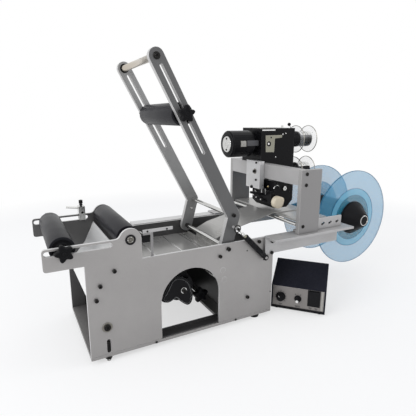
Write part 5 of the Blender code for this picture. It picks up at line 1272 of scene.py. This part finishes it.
# label reel: pale and dark blue rings on both discs, flanges with screws, silver nose
reelShape = dict(
    faces=((-61, -1), (65, 1)), screws=3, screwReach=34, firstScrew=20,
    rings=[
        ([(59.5, 0.05), (59.5, 0.75), (74.6, 0.75), (75.5, 0.35), (75.5, 0.05)], 0, 72),
        ([(43.0, 0.05), (43.0, 0.5), (59.3, 0.5), (59.3, 0.05)], 1, 72),
        ([(120.8, 0.02), (120.8, 0.5), (121.9, 0.4), (121.9, 0.02)], 2, 110),
        ([(75.6, 0.02), (75.6, 0.8), (76.3, 0.6), (76.3, 0.02)], 2, 90),
    ],
    flange=[(42.6, 0.05), (42.6, 1.4), (41.6, 2.2), (40.0, 2.6)],
    nose=[(12.9, 0.02), (13.2, 0.3), (13.2, 1.0), (12.7, 1.4), (11.6, 1.4), (11.3, 0.9), (11.3, 0.02)],
    noseCore=[(11.2, 0.02), (11.2, 0.5), (5.2, 0.5), (4.8, 1.3), (2.2, 1.3), (2.0, 0.6)],
)
bm = bmesh.new()
for y, side in reelShape["faces"]:
    for profile, finish, segments in reelShape["rings"]:
        turned(bm, profile, onAxis(reelAxis, y, (0, side, 0)), finish, segments, loop=True)
makePiece("reelRings", bm, [blueRing, blueInner, blueRim], "reel", angle=40)
bm = bmesh.new()
for y, side in reelShape["faces"]:
    place = onAxis(reelAxis, y, (0, side, 0))
    for index in range(reelShape["screws"]):
        screwTurn = turnZ(reelShape["firstScrew"] + 120 * index)
        buttonScrew(bm, place @ screwTurn @ shift(reelShape["screwReach"], 0, 3.4), 2.4, 1.4)
    turned(bm, reelShape["flange"], place, 1, 60, capped=False)
makePiece("reelFlanges", bm, [screwBlack, blackPlastic], "reel")
bm = bmesh.new()
place = onAxis(reelAxis, -99, towardNear)
turned(bm, reelShape["nose"], place, 0, 48, loop=True)
turned(bm, reelShape["noseCore"], place, 1, 40)
makePiece("reelNose", bm, [steelMetal, blackPlastic], "reel")
print("reel: rings, flanges and nose")

# control box: panel sheet with plain ticks, speed knob, mode switch, rocker bezel, lip and corner screws
boxShape = dict(
    spot=(411, -85), turn=-47.4, knob=(21.6, 33.5), switch=(60, 33.5), panel=(3.6, 7.6, 116.4, 58.4),
    pocket=(82.6, 20.8, 107.0, 56.8), bezel=(81.2, 19.4, 108.4, 58.2), ink=(-0.66, 0.08), tickCount=11,
    dashes=((21.6, 8), (60, 12), (88, 7), (101, 7)),
    skirt=[(10.4, -0.6), (10.8, -0.2), (10.8, 1.4), (9.6, 2.0)], grip=(8.4, 7.8), gripHeights=(2.3, 10.4),
    cap=[(7.4, 11.8), (6.6, 12.6), (5.0, 12.9), (4.4, 12.5)],
    switchStem=[(5.6, -1.4), (6.0, -0.6), (6.0, 1.6), (5.2, 2.2), (4.6, 3.0), (4.6, 8.2), (4.0, 9.6),
                (3.2, 10.3)],
    switchRing=[(7.6, -0.6), (7.9, -0.3), (7.9, 0.9), (7.3, 1.3)],
    switchGrip=((-2.0, -5.6, 2.0), (2.0, 5.6, 9.6)), gripTurn=28,
    whiteTip=[(3.3, 9.6), (3.3, 10.5), (2.9, 10.9)],
    lip=((2.8, 5.0, -0.7), (117.2, 10.6, 0.4)), edgeStrip=((110.6, 12.4, -0.7), (114.6, 58.0, -0.35)),
    corners=((9, 10, 62), (111, 10, 62), (9, 65, 97.9), (111, 65, 97.9)),
)
boxFrame = Matrix.Translation(spot(*boxShape["spot"], 0)) @ turnZ(boxShape["turn"]) @ Matrix.Scale(0.001, 4)
boxFront = boxFrame @ standUp   # local X right, Y up, Z out of the panel
knobSpot, switchSpot = boxShape["knob"], boxShape["switch"]
pocket = rectangle(*boxShape["pocket"])
bm = bmesh.new()
panelHoles = [pocket, circle(*knobSpot, 8.6, 28), circle(*switchSpot, 6.6, 24)]
extruded(bm, rectangle(*boxShape["panel"]), -1.45, -0.7, boxFront, panelHoles)
makePiece("boxPanel", bm, [panelMetal], "frame", bevel=0.0001)

bm = bmesh.new()
inkBase, inkThick = boxShape["ink"]
for index in range(boxShape["tickCount"]):
    place = boxFront @ shift(*knobSpot, inkBase) @ turnZ(225 - 27 * index)
    slab(bm, (11.2, -0.45, 0), (15.0 if index % 5 == 0 else 13.4, 0.45, inkThick), place)
for degrees in (60, 120):
    place = boxFront @ shift(*switchSpot, inkBase) @ turnZ(degrees)
    slab(bm, (9.6, -0.6, 0), (13.0, 0.6, inkThick), place)
for x, width in boxShape["dashes"]:
    for row in (0, 1):
        low, high = 15.0 - 2.4 * row, 16.2 - 2.4 * row
        slab(bm, (x - width / 2 + row, low, -0.68), (x + width / 2 - row, high, -0.6), boxFront)
makePiece("panelTicks", bm, [tickInk], "frame")

bm = bmesh.new()
place = boxFront @ shift(*knobSpot, 0)
grip = star(20, *boxShape["grip"])
knobProfile = boxShape["skirt"] + [(grip, height) for height in boxShape["gripHeights"]] + boxShape["cap"]
turned(bm, knobProfile, place, 0, 80)
slab(bm, (3.0, -0.4, 12.5), (6.6, 0.4, 12.98), place @ turnZ(118), 1)
makePiece("speedKnob", bm, [knobPlastic, whitePlastic], "speed_dial", replaced="box_knob")

bm = bmesh.new()
place = boxFront @ shift(*switchSpot, 0)
turned(bm, boxShape["switchStem"], place, 0, 36)
turned(bm, boxShape["switchRing"], place, 0, 40)
slab(bm, *boxShape["switchGrip"], place @ turnZ(boxShape["gripTurn"]))
turned(bm, boxShape["whiteTip"], place @ shift(-0.8, -2.6, 0), 1, 24)
makePiece("modeSwitch", bm, [knobPlastic, whitePlastic], "mode_dial", replaced="box_switch")

bm = bmesh.new()
slab(bm, *boxShape["lip"], boxFront)
slab(bm, *boxShape["edgeStrip"], boxFront, 1)
extruded(bm, rectangle(*boxShape["bezel"]), -0.72, 0.7, boxFront, [pocket])
makePiece("rockerBezel", bm, [blackPlastic, greyCard], "frame", bevel=0.0003)
buttonSet("boxScrews", [boxFrame @ shift(*corner) for corner in boxShape["corners"]], 2.2, 0.9)
print("control box: panel, ticks, knob, switch and bezel")


# studio: paper floor that fades to white, plain sky, three lamps and the camera of the photograph
skyLook = dict(colour=(0.93, 0.95, 1.0, 1), strength=0.62)
floorLook = dict(
    radius=3.2, colour=(0.80, 0.80, 0.80, 1), roughness=0.8, specular=0.1, fade=(0.5, 1.5), whiteShare=0.6,
)
lamps = {
    # place, aim, width and depth, watts
    "keyLamp": ((-2.3, -0.5, 1.3), (0, 0, 0.2), (1.6, 1.2), 30),
    "topLamp": ((0.2, 0.3, 2.2), (0.05, 0, 0.2), (2.2, 1.6), 5),
    "rightLamp": ((1.9, -1.0, 1.1), (0.1, 0, 0.2), (1.0, 1.4), 9),
}
photoView = dict(
    lens=32.43, sensor=36, place=(-92.9, -718.0, 429.4), ahead=(0.4575, 0.8582, -0.2328), roll=0.18,
)


def seenDirectly(tree):
    # 1 on the rays that come from the camera, a mirror or a clear disc
    path = addNode(tree, "LightPath").outputs
    seen = mathNode(tree, "MAXIMUM", path["Is Camera Ray"], path["Is Glossy Ray"])
    return mathNode(tree, "MAXIMUM", seen, path["Is Transmission Ray"])


def mixShaders(tree, share, first, second, output):
    mix = addNode(tree, "MixShader", {0: share, 1: first.outputs[0], 2: second.outputs[0]})
    connect(tree, {0: mix.outputs[0]}, output)


def makeFloor():
    mesh = bpy.data.meshes.new("floor")
    bm = bmesh.new()
    bmesh.ops.create_circle(bm, cap_ends=True, segments=64, radius=floorLook["radius"])
    bm.to_mesh(mesh)
    bm.free()
    floor = bpy.data.objects.new("floor", mesh)
    bpy.context.scene.collection.objects.link(floor)
    material, tree, shader = startMaterial("floorPaper")
    seen = seenDirectly(tree)
    colour = mixColours(tree, seen, floorLook["colour"], (1, 1, 1, 1))
    plain = {"Roughness": floorLook["roughness"], "Specular IOR Level": floorLook["specular"]}
    connect(tree, {"Base Color": colour, **plain}, shader)
    mesh.materials.append(material)
    # far out and on the camera's own rays the paper turns into plain white, but its shadows stay
    length = addNode(tree, "VectorMath", {0: objectPlace(tree)}, "LENGTH").outputs["Value"]
    whiteness = mathNode(tree, "MULTIPLY", seen, floorLook["whiteShare"])
    away = mathNode(tree, "MAXIMUM", mapRange(tree, length, *floorLook["fade"]), whiteness)
    mixShaders(tree, away, shader, addNode(tree, "Emission"), tree.nodes["Material Output"])


def makeWorld():
    world = bpy.data.worlds.new("studio")
    bpy.context.scene.world = world
    world.use_nodes = True
    tree = world.node_tree
    light = tree.nodes["Background"]
    connect(tree, {"Color": skyLook["colour"], "Strength": skyLook["strength"]}, light)
    white = addNode(tree, "Background", {"Color": (1, 1, 1, 1)})
    mixShaders(tree, seenDirectly(tree), light, white, tree.nodes["World Output"])


def addLamp(name, place, aim, size, power):
    lamp = bpy.data.lights.new(name, "AREA")
    lamp.shape = "RECTANGLE"
    lamp.size, lamp.size_y = size
    lamp.energy = power
    holder = bpy.data.objects.new(name, lamp)
    holder.location = place
    holder.rotation_euler = (Vector(aim) - Vector(place)).to_track_quat("-Z", "Y").to_euler()
    bpy.context.scene.collection.objects.link(holder)


def addCamera():
    data = bpy.data.cameras.new("photoCamera")
    data.lens = photoView["lens"]
    data.sensor_width = photoView["sensor"]
    data.clip_start = 0.02
    camera = bpy.data.objects.new("photoCamera", data)
    forward = Vector(photoView["ahead"]).normalized()
    right = forward.cross(Vector((0, 0, 1))).normalized()
    up = right.cross(forward)
    turn = Matrix((right, up, -forward)).transposed() @ Matrix.Rotation(math.radians(photoView["roll"]), 3, "Z")
    camera.matrix_world = Matrix.Translation(spot(*photoView["place"])) @ turn.to_4x4()
    bpy.context.scene.collection.objects.link(camera)
    bpy.context.scene.camera = camera


makeFloor()
makeWorld()
for name, values in lamps.items():
    addLamp(name, *values)
addCamera()
bpy.context.scene.view_settings.view_transform = "Standard"
print("studio: floor, lamps and camera")
